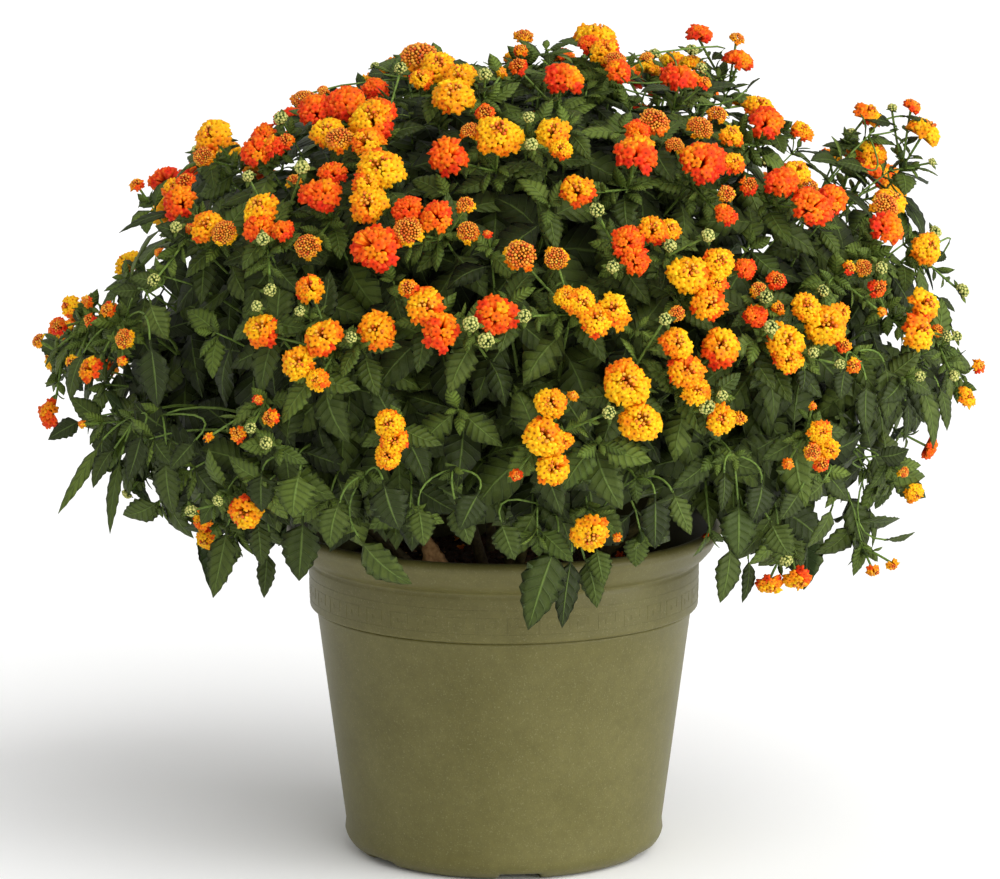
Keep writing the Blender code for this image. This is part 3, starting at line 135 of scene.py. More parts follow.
# Heads that stand alone, most of them small, unopened or going over.
frontSingles = (
    (448, 157, 21, flame), (262, 329, 19, amber), (375, 331, 20, amber), (494, 318, 22, flame),
    (563, 79, 21, flame), (577, 191, 18, amber), (520, 256, 17, opening), (868, 115, 17, amber),
    (873, 152, 18, gold), (720, 346, 21, amber), (590, 532, 20, gold), (246, 511, 19, amber),
    (137, 185, 9, amber), (176, 227, 7, bud), (190, 228, 6, flame), (159, 253, 6, amber),
    (154, 280, 7, bud), (280, 119, 8, bud), (248, 176, 7, bud), (267, 237, 8, bud), (309, 172, 9, bud),
    (293, 181, 8, opening), (323, 91, 7, opening), (270, 290, 7, bud), (375, 89, 15, flame),
    (406, 71, 7, bud), (482, 75, 8, bud), (482, 112, 11, flame), (465, 208, 10, opening),
    (463, 225, 12, opening), (526, 121, 7, bud), (530, 144, 8, bud), (524, 37, 11, opening),
    (521, 51, 9, amber), (518, 67, 11, flame), (502, 73, 6, gold), (647, 58, 8, opening),
    (597, 210, 8, bud), (556, 259, 13, opening), (482, 233, 5, flame), (613, 267, 7, bud),
    (698, 39, 16, flame), (702, 70, 6, bud), (700, 129, 14, opening), (717, 115, 11, opening),
    (731, 137, 14, gold), (802, 132, 13, amber), (670, 141, 10, opening), (723, 190, 10, opening),
    (726, 215, 13, flame), (809, 187, 11, opening), (757, 184, 11, flame), (892, 108, 6, bud),
    (932, 162, 5, bud), (671, 247, 7, bud), (711, 243, 8, bud), (745, 271, 12, flame),
    (757, 288, 10, opening), (766, 297, 7, bud), (776, 281, 11, flame), (865, 270, 10, opening),
    (881, 268, 7, bud), (876, 287, 11, flame), (849, 268, 8, amber), (70, 306, 12, gold),
    (59, 327, 10, flame), (87, 301, 7, amber), (39, 341, 9, opening), (90, 320, 8, flame),
    (108, 310, 9, amber), (125, 339, 11, opening), (91, 370, 15, amber), (73, 363, 9, gold),
    (122, 361, 6, amber), (50, 414, 16, flame), (82, 424, 5, opening), (308, 247, 14, opening),
    (310, 289, 16, amber), (257, 308, 6, bud), (300, 311, 6, bud), (258, 400, 6, flame),
    (271, 418, 10, amber), (238, 434, 9, amber), (251, 428, 6, bud), (266, 443, 7, bud),
    (208, 437, 5, amber), (203, 519, 12, amber), (206, 539, 12, gold), (191, 511, 7, bud),
    (218, 501, 6, bud), (353, 337, 6, bud), (469, 325, 9, bud), (486, 338, 9, bud), (524, 316, 8, bud),
    (611, 409, 7, bud), (571, 396, 6, gold), (516, 475, 7, flame), (617, 538, 5, amber),
    (677, 314, 9, opening), (668, 324, 7, bud), (757, 317, 13, flame), (782, 308, 8, amber),
    (775, 331, 8, bud), (843, 345, 9, amber), (808, 352, 6, bud), (840, 364, 6, bud),
    (853, 366, 9, amber), (882, 312, 6, amber), (823, 291, 6, bud), (938, 331, 8, opening),
    (947, 336, 6, bud), (957, 336, 6, bud), (978, 366, 9, amber), (966, 397, 12, gold),
    (954, 376, 7, bud), (920, 376, 6, bud), (813, 406, 5, amber), (788, 464, 6, amber),
    (903, 472, 7, opening), (913, 493, 12, gold), (786, 560, 8, bud), (873, 570, 9, amber),
    (892, 564, 8, gold), (718, 397, 6, bud), (736, 418, 8, gold),
)
# Sprays that hang over the rim: each leaf from its base to its tip on the chart, and its width in steps.
frontHanging = (
    ((104, 438, 58, 514, 17), (116, 446, 93, 488, 24), (122, 452, 110, 534, 18), (143, 430, 128, 482, 28)),
    ((166, 456, 174, 515, 36), (196, 440, 170, 470, 24), (84, 420, 48, 440, 26)),
    (
        (228, 524, 213, 598, 31), (258, 520, 262, 566, 28),
        (268, 548, 264, 598, 22), (196, 500, 180, 520, 12),
    ),
    ((303, 516, 299, 581, 41), (262, 470, 262, 512, 34), (300, 470, 293, 518, 44)),
    ((358, 536, 412, 584, 40), (340, 500, 330, 548, 34), (383, 480, 400, 530, 40)),
    (
        (557, 540, 528, 630, 44), (572, 552, 562, 628, 27),
        (584, 556, 597, 608, 27), (500, 520, 515, 560, 30),
    ),
    ((596, 545, 604, 585, 26), (655, 494, 655, 549, 31), (672, 490, 691, 535, 23)),
    ((418, 505, 424, 546, 30), (455, 500, 470, 545, 30), (480, 490, 460, 530, 34)),
    ((738, 500, 738, 557, 40), (724, 470, 721, 512, 15), (762, 480, 752, 520, 34)),
    ((730, 543, 720, 603, 31), (748, 556, 742, 603, 16), (770, 520, 790, 556, 34)),
    (
        (833, 505, 806, 548, 26), (824, 480, 800, 500, 30),
        (855, 522, 851, 560, 38), (800, 490, 780, 520, 30),
    ),
    ((876, 456, 909, 449, 27), (884, 540, 915, 532, 18), (868, 505, 872, 548, 12)),
    ((884, 362, 886, 420, 38), (866, 380, 866, 434, 26), (845, 366, 840, 400, 26)),
    (
        (916, 378, 933, 449, 26), (938, 384, 947, 431, 23),
        (905, 398, 903, 442, 15), (948, 366, 940, 396, 20),
    ),
)
# Leaves that show against the sky along the top and the sides, in the same terms.
frontEdge = (
    ((182, 212, 119, 233, 15), (190, 240, 155, 226, 22)),
    ((546, 52, 571, 43, 12), (548, 52, 549, 66, 12)),
    (
        (858, 148, 822, 146, 20), (868, 170, 835, 163, 26),
        (895, 125, 862, 118, 24), (900, 116, 934, 124, 16),
    ),
    ((912, 168, 938, 176, 12), (900, 195, 920, 215, 16), (890, 170, 905, 160, 14)),
    ((142, 290, 111, 292, 20), (158, 285, 130, 278, 20)),
    ((60, 345, 45, 367, 10), (85, 350, 70, 400, 30), (150, 340, 158, 408, 38), (150, 300, 168, 340, 32)),
    ((386, 75, 368, 76, 26), (470, 92, 488, 90, 20), (722, 52, 712, 60, 14), (640, 62, 628, 52, 12)),
    ((676, 62, 666, 52, 14), (652, 60, 664, 68, 12), (745, 92, 760, 78, 12), (300, 100, 296, 108, 14)),
    ((935, 296, 955, 312, 14), (915, 262, 925, 318, 20), (945, 250, 935, 262, 12)),
)

# How a head sits on its stalk, the stalk's length, and how far touching heads overlap, over their radius.
headForm = {"sit": 0.35, "stalk": (0.016, 0.028), "bite": 0.3}
backRule = {"bunches": 10, "companions": (4, 4, 5, 5), "singles": 76}
leafForm = {"wide": 0.60, "stalk": 0.16}  # width over length, and the stalk's share of the length
shootRule = {"fillers": 130, "pairs": 5, "gap": 0.015, "gapGrowth": 1.28}


# A vector over its own length.
def unit(v):
    return v / max(np.linalg.norm(v), 1e-9)


# The line of sight through a spot of the chart: where it starts, and its direction.
def chartRay(across, down):
    tilt = chart["pitch"]
    ahead = np.array([0.0, math.cos(tilt), -math.sin(tilt)])
    rise = np.array([0.0, math.sin(tilt), math.cos(tilt)])
    side = (across - chart["middle"][0]) / chart["reach"]
    lift = (chart["middle"][1] - down) / chart["reach"]
    return np.array(chart["eye"]), unit(ahead + rise * lift + np.array([side, 0.0, 0.0]))


# The crown's half axes, which are longer above its centre than below.
def crownHalf(height):
    return np.array([*crown["half"], crown["up"] if height >= crown["centre"][2] else crown["down"]])


# Where that line of sight meets the crown, an egg-shaped dome, or passes nearest to it.
def crownSpot(across, down, share=1.0):
    start, way = chartRay(across, down)
    centre = np.array(crown["centre"])
    spot = start
    for height in (centre[2] + 1, centre[2] - 1):
        half = crownHalf(height) * share
        o, d = (start - centre) / half, way / half
        dd, od = d @ d, o @ d
        inside = od * od - dd * (o @ o - 1)
        spot = start + way * ((-od - math.sqrt(max(inside, 0.0))) / dd)
        if spot[2] >= centre[2]:
            break
    return spot


# The same line of sight at a given depth y: start + way (depth - start y) / way y.
def chartSpot(across, down, depth):
    start, way = chartRay(across, down)
    return start + way * ((depth - start[1]) / way[1])


# Outward from the crown at a spot: (spot - centre) / half^2, made a unit.
def outward(spot):
    return unit((spot - np.array(crown["centre"])) / crownHalf(spot[2]) ** 2)


# The crown's surface in a direction from its centre, both angles in degrees.
def crownAt(azimuth, rise, share=1.0):
    a, e = math.radians(azimuth), math.radians(rise)
    way = np.array([math.cos(a) * math.cos(e), math.sin(a) * math.cos(e), math.sin(e)])
    half = crownHalf(crown["centre"][2] + way[2])
    return np.array(crown["centre"]) + way * share / np.linalg.norm(way / half)


# The crown's top edge on the front chart, and the part of the pot's mouth that no twig of the rule covers.
skyline = np.array((
    (40, 330), (100, 290), (125, 250), (150, 200), (190, 135), (245, 145), (300, 95), (345, 92), (380, 55),
    (410, 45), (440, 50), (480, 68), (520, 40), (560, 42), (600, 24), (660, 55), (700, 35), (740, 32),
    (800, 112), (830, 135), (900, 95), (942, 135), (958, 245), (980, 330),
))
mouth = ((672, 500), (728, 574))


# Where a spot falls on the front chart: reach * side / depth across and reach * lift / depth up.
def chartOf(spot):
    tilt = chart["pitch"]
    away = spot - np.array(chart["eye"])
    depth = away[..., 1] * math.cos(tilt) - away[..., 2] * math.sin(tilt)
    lift = away[..., 1] * math.sin(tilt) + away[..., 2] * math.cos(tilt)
    across = chart["middle"][0] + chart["reach"] * away[..., 0] / depth
    return across, chart["middle"][1] - chart["reach"] * lift / depth


# A spot on the crown, moved down its surface until it lies below the top edge by a given count of steps.
def underEdge(azimuth, rise, clear, share=1.0):
    spot = crownAt(azimuth, rise, share)
    across, down = chartOf(spot)
    while rise > -20 and down - clear < np.interp(across, *skyline.T):
        rise -= 3
        spot = crownAt(azimuth, rise, share)
        across, down = chartOf(spot)
    return spot


# Whether four points of a leaf's midrib fall within the mouth's box, for leaves that aren't charted there.
def overMouth(leaf):
    across, down = chartOf(leafMid(leaf, np.array([0.3, 0.5, 0.7, 1.0]))[0])
    inside = (across > mouth[0][0]) & (across < mouth[1][0]) & (down > mouth[0][1]) & (down < mouth[1][1])
    return leaf["kind"] != "hanging" and inside.any()


# How far to the front a spot lies, from 0 at the back to 1 in front, where the light comes from.
def frontness(spot):
    return min(max(0.6 - spot[1] / 0.25, 0.0), 1.0)


# A head at a spot: its axis is outward + a lean to the light + a little chance, made a unit.
def headAt(spot, radius, age, draw):
    lean = np.array([0, -frontness(spot) * draw.uniform(0.3, 1.2), -0.25 if spot[2] < 0.24 else 0.35])
    axis = unit(outward(spot) + lean + shake(draw, 0.18))
    return {"at": spot, "axis": axis, "r": radius, "age": age}


# Draws each head of a bunch in towards its nearest neighbour until the two overlap a little.
def touch(heads):
    for i in range(1, len(heads)):
        gaps = [np.linalg.norm(heads[i]["at"] - h["at"]) - heads[i]["r"] - h["r"] for h in heads[:i]]
        j = int(np.argmin(gaps))
        gap = gaps[j]
        excess = gap + headForm["bite"] * min(heads[i]["r"], heads[j]["r"])
        if excess > 0:
            heads[i]["at"] = heads[i]["at"] + unit(heads[j]["at"] - heads[i]["at"]) * excess


# Moves whole bunches apart until no two share any space.
def partBunches(bunches, rounds=60, clear=0.0018):
    at = np.array([h["at"] for b in bunches for h in b])
    r = np.array([h["r"] for b in bunches for h in b])
    owner = np.array([i for i, b in enumerate(bunches) for _ in b])
    for _ in range(rounds):
        away = at[:, None] - at[None]
        far = np.linalg.norm(away, axis=2) + 1e-9
        need = r[:, None] + r[None] + clear - far
        need[owner[:, None] == owner[None]] = 0
        need = np.maximum(need, 0)
        if need.max() <= 0:
            break
        push = (away / far[..., None] * need[..., None] * 0.5).sum(1)
        move = np.zeros((len(bunches), 3))
        np.add.at(move, owner, push)
        at = at + move[owner] / np.bincount(owner, minlength=len(bunches))[owner][:, None] ** 0.5
    for h, spot in zip((h for b in bunches for h in b), at):
        h["at"] = spot


# Every flower head: the charted ones in front, and the rest of the crown by rule.
def growHeads(draw):
    step = chart["step"]
    bunches, singles = [], []
    for row in frontBunches:
        bunches.append([headAt(crownSpot(x, y), r * step, age, draw) for x, y, r, age in row])
    for x, y, r, age in frontSingles:
        share = 1.02 if age == bud else 0.98
        singles.append([headAt(crownSpot(x, y, share), r * step, age, draw)])
    ages = (gold, gold, gold, amber, amber, flame, flame, opening)
    count = backRule["bunches"]
    for k in range(count):
        azimuth = 16 + 150 * ((k * 0.618034 + 0.31) % 1.0)
        rise = -14 + 86 * ((k + 0.5) / count) ** 0.9
        middle = underEdge(azimuth, rise, 36)
        lead = headAt(middle, draw.uniform(0.0150, 0.0172), draw.choice(ages), draw)
        side = unit(np.cross(lead["axis"], (0.3, 0.2, 1.0)))
        rest = np.cross(lead["axis"], side)
        bunch = [lead]
        turn = draw.uniform(0, 6.28)
        for j in range(draw.choice(backRule["companions"])):
            radius = draw.uniform(0.0095, 0.0155)
            reach = (lead["r"] + radius) * draw.uniform(0.95, 1.2)
            spot = middle + (side * math.cos(turn) + rest * math.sin(turn)) * reach
            spot = spot + outward(spot) * draw.uniform(-0.004, 0.002)
            bunch.append(headAt(spot, radius, draw.choice(ages), draw))
            turn += draw.uniform(1.3, 2.0)
        bunches.append(bunch)
    for k in range(backRule["singles"]):
        azimuth = 4 + 172 * ((k * 0.754878 + 0.17) % 1.0)
        rise = -22 + 100 * ((k * 0.569840 + 0.43) % 1.0)
        small = k % 5 < 2
        radius = draw.uniform(0.0042, 0.0062) if small else draw.uniform(0.0085, 0.013)
        age = bud if small else draw.choice(ages)
        spot = underEdge(azimuth, rise, radius / step, 1.01 if small else 0.98)
        singles.append([headAt(spot, radius, age, draw)])
    for bunch in bunches:
        touch(bunch)
    partBunches(bunches + singles)
    return bunches, [s[0] for s in singles]


# The stems that stand in the soil: a ring that leans out and a few upright ones, from one root point.
def mainStems():
    stems = []
    for count, rise, turn, reach in (
        (root["ring"], root["ringRise"], 10, 0.60),
        (root["top"], root["topRise"], 50, 0.62),
    ):
        for k in range(count):
            a, e = math.radians(turn + 360 * k / count), math.radians(rise)
            way = np.array([math.cos(a) * math.cos(e), math.sin(a) * math.cos(e), math.sin(e)])
            start = np.array(root["point"])
            end = start + way * 0.9
            span = crownAt(math.degrees(a), 28 if rise < 60 else 80)
            far = np.linalg.norm(span - start) * reach
            side = np.array([-math.sin(a), math.cos(a), 0.0])
            t = np.linspace(0.0, 1.0, pathCount)
            low = (soilTop - stemForm["depth"] - start[2]) / way[2]
            along = low + (far - low) * t
            bow = np.sin(t * math.pi)[:, None]
            sway = side * stemForm["sway"] * (1 if k % 2 else -1)
            if rise < 60:
                sway = sway + np.array([0, 0, stemForm["arch"]])
            path = start + way * along[:, None] + sway * bow
            thick = np.linspace(*stemForm["thick"], pathCount)
            stems.append({"path": path, "thick": thick, "way": way, "group": len(stems)})
    return stems


# A cubic curve from p to q that leaves and arrives in the given directions.
def bend(p, q, startWay, endWay, lift=0.0):
    far = np.linalg.norm(q - p)
    a = p + startWay * far * 0.38 + np.array([0, 0, lift])
    b = q - endWay * far * 0.34 + np.array([0, 0, lift])
    t = np.linspace(0, 1, pathCount)[:, None]
    return p * (1 - t) ** 3 + a * 3 * t * (1 - t) ** 2 + b * 3 * t**2 * (1 - t) + q * t**3


# Whether a path keeps out of the rim's ring, of the soil and of the wall.
def clearOfPot(path):
    over = np.hypot(path[:, 0], path[:, 1])
    low = (over > 0.132) & (over < rimReach + 0.008) & (path[:, 2] < rimTop + 0.008)
    inside = (over <= 0.132) & (path[:, 2] < soilTop + 0.004)
    wall = (over < rimReach + 0.002) & (path[:, 2] < rimTop)
    return not (low | inside | (wall & (over > 0.130))).any()


# How often a path comes too near to another stem's shoots, to a head that it doesn't carry, or to the pot.
def crossings(path, group, placed, heads, own):
    bad = 0 if clearOfPot(path) else 50
    for other in placed:
        if other["group"] != group:
            gap = np.linalg.norm(path[:, None] - other["path"][None], axis=2).min()
            bad += gap < stemForm["clear"]
    for head in heads:
        if not any(head is h for h in own):
            bad += np.linalg.norm(path - head["at"], axis=1).min() < head["r"] + stemForm["clear"] / 3
    return bad


# A shoot from the nearest main stem to its tip, bent clear of the others and of the pot's rim.
def shootTo(tip, tipWay, stems, placed, heads, own, draw, thick=0.0015):
    way = unit(tip - np.array(root["point"]))
    group = max(range(len(stems)), key=lambda i: stems[i]["way"] @ way)
    run = stems[group]["path"]
    steps = np.arange(pathCount)
    best = None
    for attempt in range(16):
        share = draw.uniform(2.6, 7.2) if tip[2] > 0.26 else draw.uniform(4.0, 7.2)
        fork = np.array([np.interp(share, steps, run[:, i]) for i in range(3)])
        if np.linalg.norm(tip - fork) < 0.035:
            share = draw.uniform(1.6, 3.0)
            fork = np.array([np.interp(share, steps, run[:, i]) for i in range(3)])
        lift = 0.0 if tip[2] > 0.30 else (0.30 - tip[2]) * 0.75 + 0.01
        lift += draw.uniform(-0.012, 0.012) * min(attempt, 3)
        stray = np.array([draw.uniform(-1, 1), draw.uniform(-1, 1), 0.4])
        leave = unit(unit(run[-1] - run[0]) + (way + stray) * 0.6)
        path = bend(fork, tip, leave, tipWay, lift)
        bad = crossings(path[1:], group, placed, heads, own)
        if best is None or bad < best[0]:
            best = (bad, path)
        if bad == 0:
            break
    wide = np.linspace(stemForm["shoot"], thick, pathCount)
    shoot = {"path": best[1], "thick": wide, "group": group}
    placed.append(shoot)
    return shoot


# A vector whose three parts are each drawn between -reach and reach.
def shake(draw, reach):
    return np.array([draw.uniform(-reach, reach) for _ in range(3)])


# One leaf on a shoot. Its face is made square to its way: face - way (face . way).
def leafOn(base, way, face, length, width, curl, shoot, kind, draw):
    way = unit(way)
    face = unit(face - way * (face @ way))
    fold = draw.uniform(0.10, 0.34)
    return {
        "base": base, "way": way, "face": face, "length": length, "width": width, "curl": curl,
        "fold": fold, "group": shoot["group"], "kind": kind, "pair": 0, "foot": base, "seed": draw.random(),
    }


# The midrib at a share of its length: an arc that curls away from the leaf's face.
def leafMid(leaf, share):
    c = leaf["curl"] if abs(leaf["curl"]) > 1e-3 else 1e-3
    s = np.asarray(share, float)[..., None]
    ahead, sink = np.sin(c * s) / c, (1 - np.cos(c * s)) / c
    spot = leaf["base"] + leaf["length"] * (leaf["way"] * ahead - leaf["face"] * sink)
    face = leaf["face"] * np.cos(c * s) + leaf["way"] * np.sin(c * s)
    return spot, face


# Opposite pairs, each turned a quarter from the last, with longer leaves and gaps further from the tip.
def leavesAlong(shoot, pairs, scale, draw, leaves, kind, crowd=1.0):
    path = shoot["path"]
    steps = np.linalg.norm(np.diff(path, axis=0), axis=1)
    run = np.concatenate([[0], np.cumsum(steps)])
    back, gap = 0.004, shootRule["gap"] * crowd
    spin = draw.uniform(0, math.pi)
    for k in range(pairs):
        along = run[-1] - back
        if along < 0.25 * run[-1]:
            break
        spot = np.array([np.interp(along, run, path[:, i]) for i in range(3)])
        ahead = np.array([np.interp(min(along + 0.004, run[-1]), run, path[:, i]) for i in range(3)])
        axis = unit(ahead - spot) if along + 0.004 < run[-1] else unit(path[-1] - path[-2])
        side = unit(np.cross(axis, (0.31, 0.23, 0.92)))
        other = np.cross(axis, side)
        size = (0.030, 0.040, 0.047, 0.050, 0.050, 0.048)[min(k, 5)] * scale
        out = outward(spot)
        for half in (0, math.pi):
            turn = spin + half + draw.uniform(-0.25, 0.25)
            radial = side * math.cos(turn) + other * math.sin(turn)
            spread = (0.75, 1.0, 1.15, 1.25, 1.3, 1.3)[min(k, 5)] + draw.uniform(-0.15, 0.15)
            length = size * draw.uniform(0.84, 1.16)
            wish = axis * math.cos(spread) + radial * math.sin(spread) + np.array([0, 0, -0.25 - 0.12 * k])
            light = np.array([0, -0.40 * frontness(spot), 0.36])
            face = unit(out * 0.55 + light + axis * 0.18 + shake(draw, 0.42))
            way = unit(wish - face * (wish @ face) * 0.72)
            curl = draw.uniform(0.25, 0.95) + (0.25 if k > 1 else 0)
            width = length * leafForm["wide"] * draw.uniform(0.9, 1.1)
            leaf = leafOn(spot, way, face, length * 1.12, width, curl, shoot, kind, draw)
            leaf["pair"] = k
            if potFree(leaf):
                leaves.append(leaf)
        spin += math.pi / 2 + draw.uniform(-0.15, 0.15)
        back += gap
        gap *= shootRule["gapGrowth"]


# Whether a leaf's midrib stays out of the pot's wall, above the soil and off the floor.
def potFree(leaf):
    spots, _ = leafMid(leaf, np.array([0.35, 0.6, 0.8, 1.0]))
    over = np.hypot(spots[:, 0], spots[:, 1])
    inPot = (over < rimReach + 0.006) & (spots[:, 2] < rimTop + 0.004)
    inSoil = spots[:, 2] < soilTop + 0.010
    return not (inPot & ((over > 0.125) | inSoil)).any() and not (spots[:, 2] < 0.02).any()


# A twig with the charted leaves at its end, each on a stalk of its own.
def hangingSpray(row, stems, placed, heads, draw, leaves, kind, share):
    bases = [crownSpot(bx, by, share) for bx, by, *_ in row]
    tip = np.mean(bases, axis=0) - outward(np.mean(bases, axis=0)) * 0.012
    tip[2] += 0.012
    if math.hypot(tip[0], tip[1]) < rimReach + 0.02:
        tip[2] = max(tip[2], rimTop + 0.02)
    lean = unit(outward(tip) + np.array([0, 0, -0.3]))
    shoot = shootTo(tip, lean, stems, placed, heads, [], draw, 0.0014)
    for (*_, tx, ty, wide), base in zip(row, bases):
        end = chartSpot(tx, ty, base[1] - 0.004)
        curl = draw.uniform(0.35, 0.7)
        chord = end - base
        out = outward(base)
        face = unit(out + np.array([0, -0.35, 0.25]) + shake(draw, 0.15))
        face = unit(face - unit(chord) * (face @ unit(chord)))
        way = unit(chord) * math.cos(curl / 2) + face * math.sin(curl / 2)
        length = np.linalg.norm(chord) * (curl / 2) / math.sin(curl / 2)
        leaf = leafOn(base, way, face, length, wide * chart["step"], curl, shoot, kind, draw)
        leaf["foot"] = shoot["path"][-1]
        if potFree(leaf):
            leaves.append(leaf)
    return shoot


# Where a tip's nearest main stem is, by direction from the root point.
def nearestStem(tip, stems):
    way = unit(tip - np.array(root["point"]))
    return max(range(len(stems)), key=lambda i: stems[i]["way"] @ way)


# A lone head grows from the nearest shoot tip that it can reach, or else on a shoot of its own.
def joinSingle(head, stems, placed, heads, shoots, draw, leaves):
    want = head["at"] - head["axis"] * (head["r"] + 0.014)
    near = sorted(range(len(shoots)), key=lambda i: np.linalg.norm(shoots[i]["path"][-1] - want))
    for i in near[:6]:
        tip = shoots[i]["path"][-1]
        if np.linalg.norm(tip - want) > stemForm["reach"]:
            break
        stalk = tip + (head["at"] - tip) * stalkSteps
        if crossings(stalk[1:], shoots[i]["group"], placed, heads, [head]) == 0:
            head["from"] = tip
            head["group"] = shoots[i]["group"]
            placed.append({"path": stalk, "group": head["group"]})
            return
    rise = unit(head["axis"] + outward(want) * 0.4)
    shoot = shootTo(want, rise, stems, placed, heads, [head], draw, 0.0013)
    shoots.append(shoot)
    head["from"] = want
    head["group"] = shoot["group"]
    placed.append({"path": want + (head["at"] - want) * stalkSteps, "group": shoot["group"]})
    leavesAlong(shoot, 3, draw.uniform(0.72, 0.95), draw, leaves, "shoot")


# The whole lantana: stems, shoots, heads with their stalks, and leaves.
def growPlant(seed=7):
    draw = random.Random(seed)
    bunches, singles = growHeads(draw)
    heads = [h for b in bunches for h in b] + singles
    stems = mainStems()
    placed = list(stems)
    leaves, shoots = [], []
    for bunch in bunches:
        lead = bunch[0]
        best = None
        for attempt in range(12):
            axis = unit(lead["axis"] + shake(draw, 0.10 * attempt))
            tip = lead["at"] - axis * (lead["r"] * headForm["sit"] + draw.uniform(*headForm["stalk"]))
            stalk = tip + (lead["at"] - tip) * stalkSteps
            bad = crossings(stalk, nearestStem(tip, stems), placed, heads, bunch)
            if best is None or bad < best[0]:
                best = (bad, axis, tip)
            if bad == 0:
                break
        _, lead["axis"], tip = best
        shoot = shootTo(tip, unit(lead["axis"] + outward(tip) * 0.4), stems, placed, heads, bunch, draw)
        shoots.append(shoot)
        stalk = tip + (lead["at"] - tip) * stalkSteps
        placed.append({"path": stalk, "group": shoot["group"]})
        for head in bunch:
            head["from"] = tip
            head["group"] = shoot["group"]
        leavesAlong(shoot, 4, draw.uniform(0.92, 1.08), draw, leaves, "shoot")
    for head in singles:
        joinSingle(head, stems, placed, heads, shoots, draw, leaves)
    for row in frontHanging:
        shoots.append(hangingSpray(row, stems, placed, heads, draw, leaves, "hanging", 0.94))
    for row in frontEdge:
        shoots.append(hangingSpray(row, stems, placed, heads, draw, leaves, "edge", 0.97))
    backHanging(stems, placed, heads, draw, leaves, shoots)
    for k in range(shootRule["fillers"]):
        azimuth = 360 * ((k * 0.618034 + 0.05) % 1.0)
        rise = -24 + 106 * ((k * 0.754878 + 0.37) % 1.0)
        tip = underEdge(azimuth, rise, 14, draw.uniform(0.84, 0.97))
        if np.hypot(tip[0], tip[1]) < rimReach + 0.02:
            tip[2] = max(tip[2], rimTop + 0.02)
        shoot = shootTo(tip, outward(tip), stems, placed, heads, [], draw, 0.0013)
        shoots.append(shoot)
        leavesAlong(shoot, shootRule["pairs"], draw.uniform(0.9, 1.12), draw, leaves, "filler")
    leaves = [leaf for leaf in leaves if not overMouth(leaf)]
    return {"stems": stems, "shoots": shoots, "bunches": bunches, "singles": singles, "leaves": leaves}


# The skirt round the back, where big leaves hang over the rim in the same way.
def backHanging(stems, placed, heads, draw, leaves, shoots):
    for k in range(13):
        azimuth = 2 + 176 * k / 12 + draw.uniform(-4, 4)
        tip = crownAt(azimuth, -26, 0.93)
        lean = unit(outward(tip) + np.array([0, 0, -0.3]))
        shoot = shootTo(tip, lean, stems, placed, heads, [], draw, 0.0014)
        shoots.append(shoot)
        out = outward(tip)
        across = unit(np.cross(out, (0, 0, 1)))
        for spread in (-0.8, -0.1, 0.7):
            base = tip + across * spread * 0.012
            way = unit(np.array([0, 0, -1.0]) + across * spread * 0.7 + out * draw.uniform(0.25, 0.6))
            face = unit(out + np.array([0, 0, 0.2]) + across * draw.uniform(-0.3, 0.3))
            length = draw.uniform(0.040, 0.058)
            curl = draw.uniform(0.3, 0.7)
            leaf = leafOn(base, way, face, length, length * 0.52, curl, shoot, "hanging", draw)
            leaf["foot"] = shoot["path"][-1]
            if potFree(leaf):
                leaves.append(leaf)


# An sRGB hex colour as linear light, for a shader's socket.
def colourOf(code):
    parts = np.array([int(code[i : i + 2], 16) for i in (1, 3, 5)]) / 255
    linear = np.where(parts <= 0.04045, parts / 12.92, ((parts + 0.055) / 1.055) ** 2.4)
    return (*linear.tolist(), 1.0)


# Adds one node and gives (node, output). Its settings are properties, its stops a colour ramp's places and
# hex colours, and its inputs go by socket name or by number as n0, n1; a (node, output) pair is linked.
def addNode(tree, kind, settings=(), stops=(), output=0, **inputs):
    node = tree.nodes.new("ShaderNode" + kind)
    for key, value in dict(settings).items():
        setattr(node, key, value)
    for i, (place, code) in enumerate(stops):
        stop = node.color_ramp.elements[i] if i < 2 else node.color_ramp.elements.new(place)
        stop.position = place
        stop.color = colourOf(code)
    for key, value in inputs.items():
        socket = node.inputs[int(key[1:]) if key[1:].isdigit() else key.replace("_", " ")]
        if isinstance(value, tuple) and isinstance(value[0], bpy.types.Node):
            tree.links.new(value[0].outputs[value[1]], socket)
        else:
            socket.default_value = value
    return node, output


# A material with its node tree, its shader, and the surface's own place in metres.
def newFinish(name, roughness, ior):
    made = bpy.data.materials.new(name)
    made.use_nodes = True
    tree = made.node_tree
    shader = tree.nodes["Principled BSDF"]
    shader.inputs["Roughness"].default_value = roughness
    shader.inputs["IOR"].default_value = ior
    return made, tree, shader, addNode(tree, "TexCoord", output="Object")


# Links an output into one of the shader's sockets.
def plug(tree, source, shader, socket):
    tree.links.new(source[0].outputs[source[1]], shader.inputs[socket])


mathOf = {kind: {"operation": kind} for kind in ("MULTIPLY", "SUBTRACT", "ABSOLUTE", "MAXIMUM", "FRACT")}
mathOf["BLEND"] = {"operation": "MULTIPLY_ADD"}
mathOf["CLIP"] = {"operation": "MULTIPLY_ADD", "use_clamp": True}
paint = {"data_type": "RGBA"}
multiply = {"data_type": "RGBA", "blend_type": "MULTIPLY"}


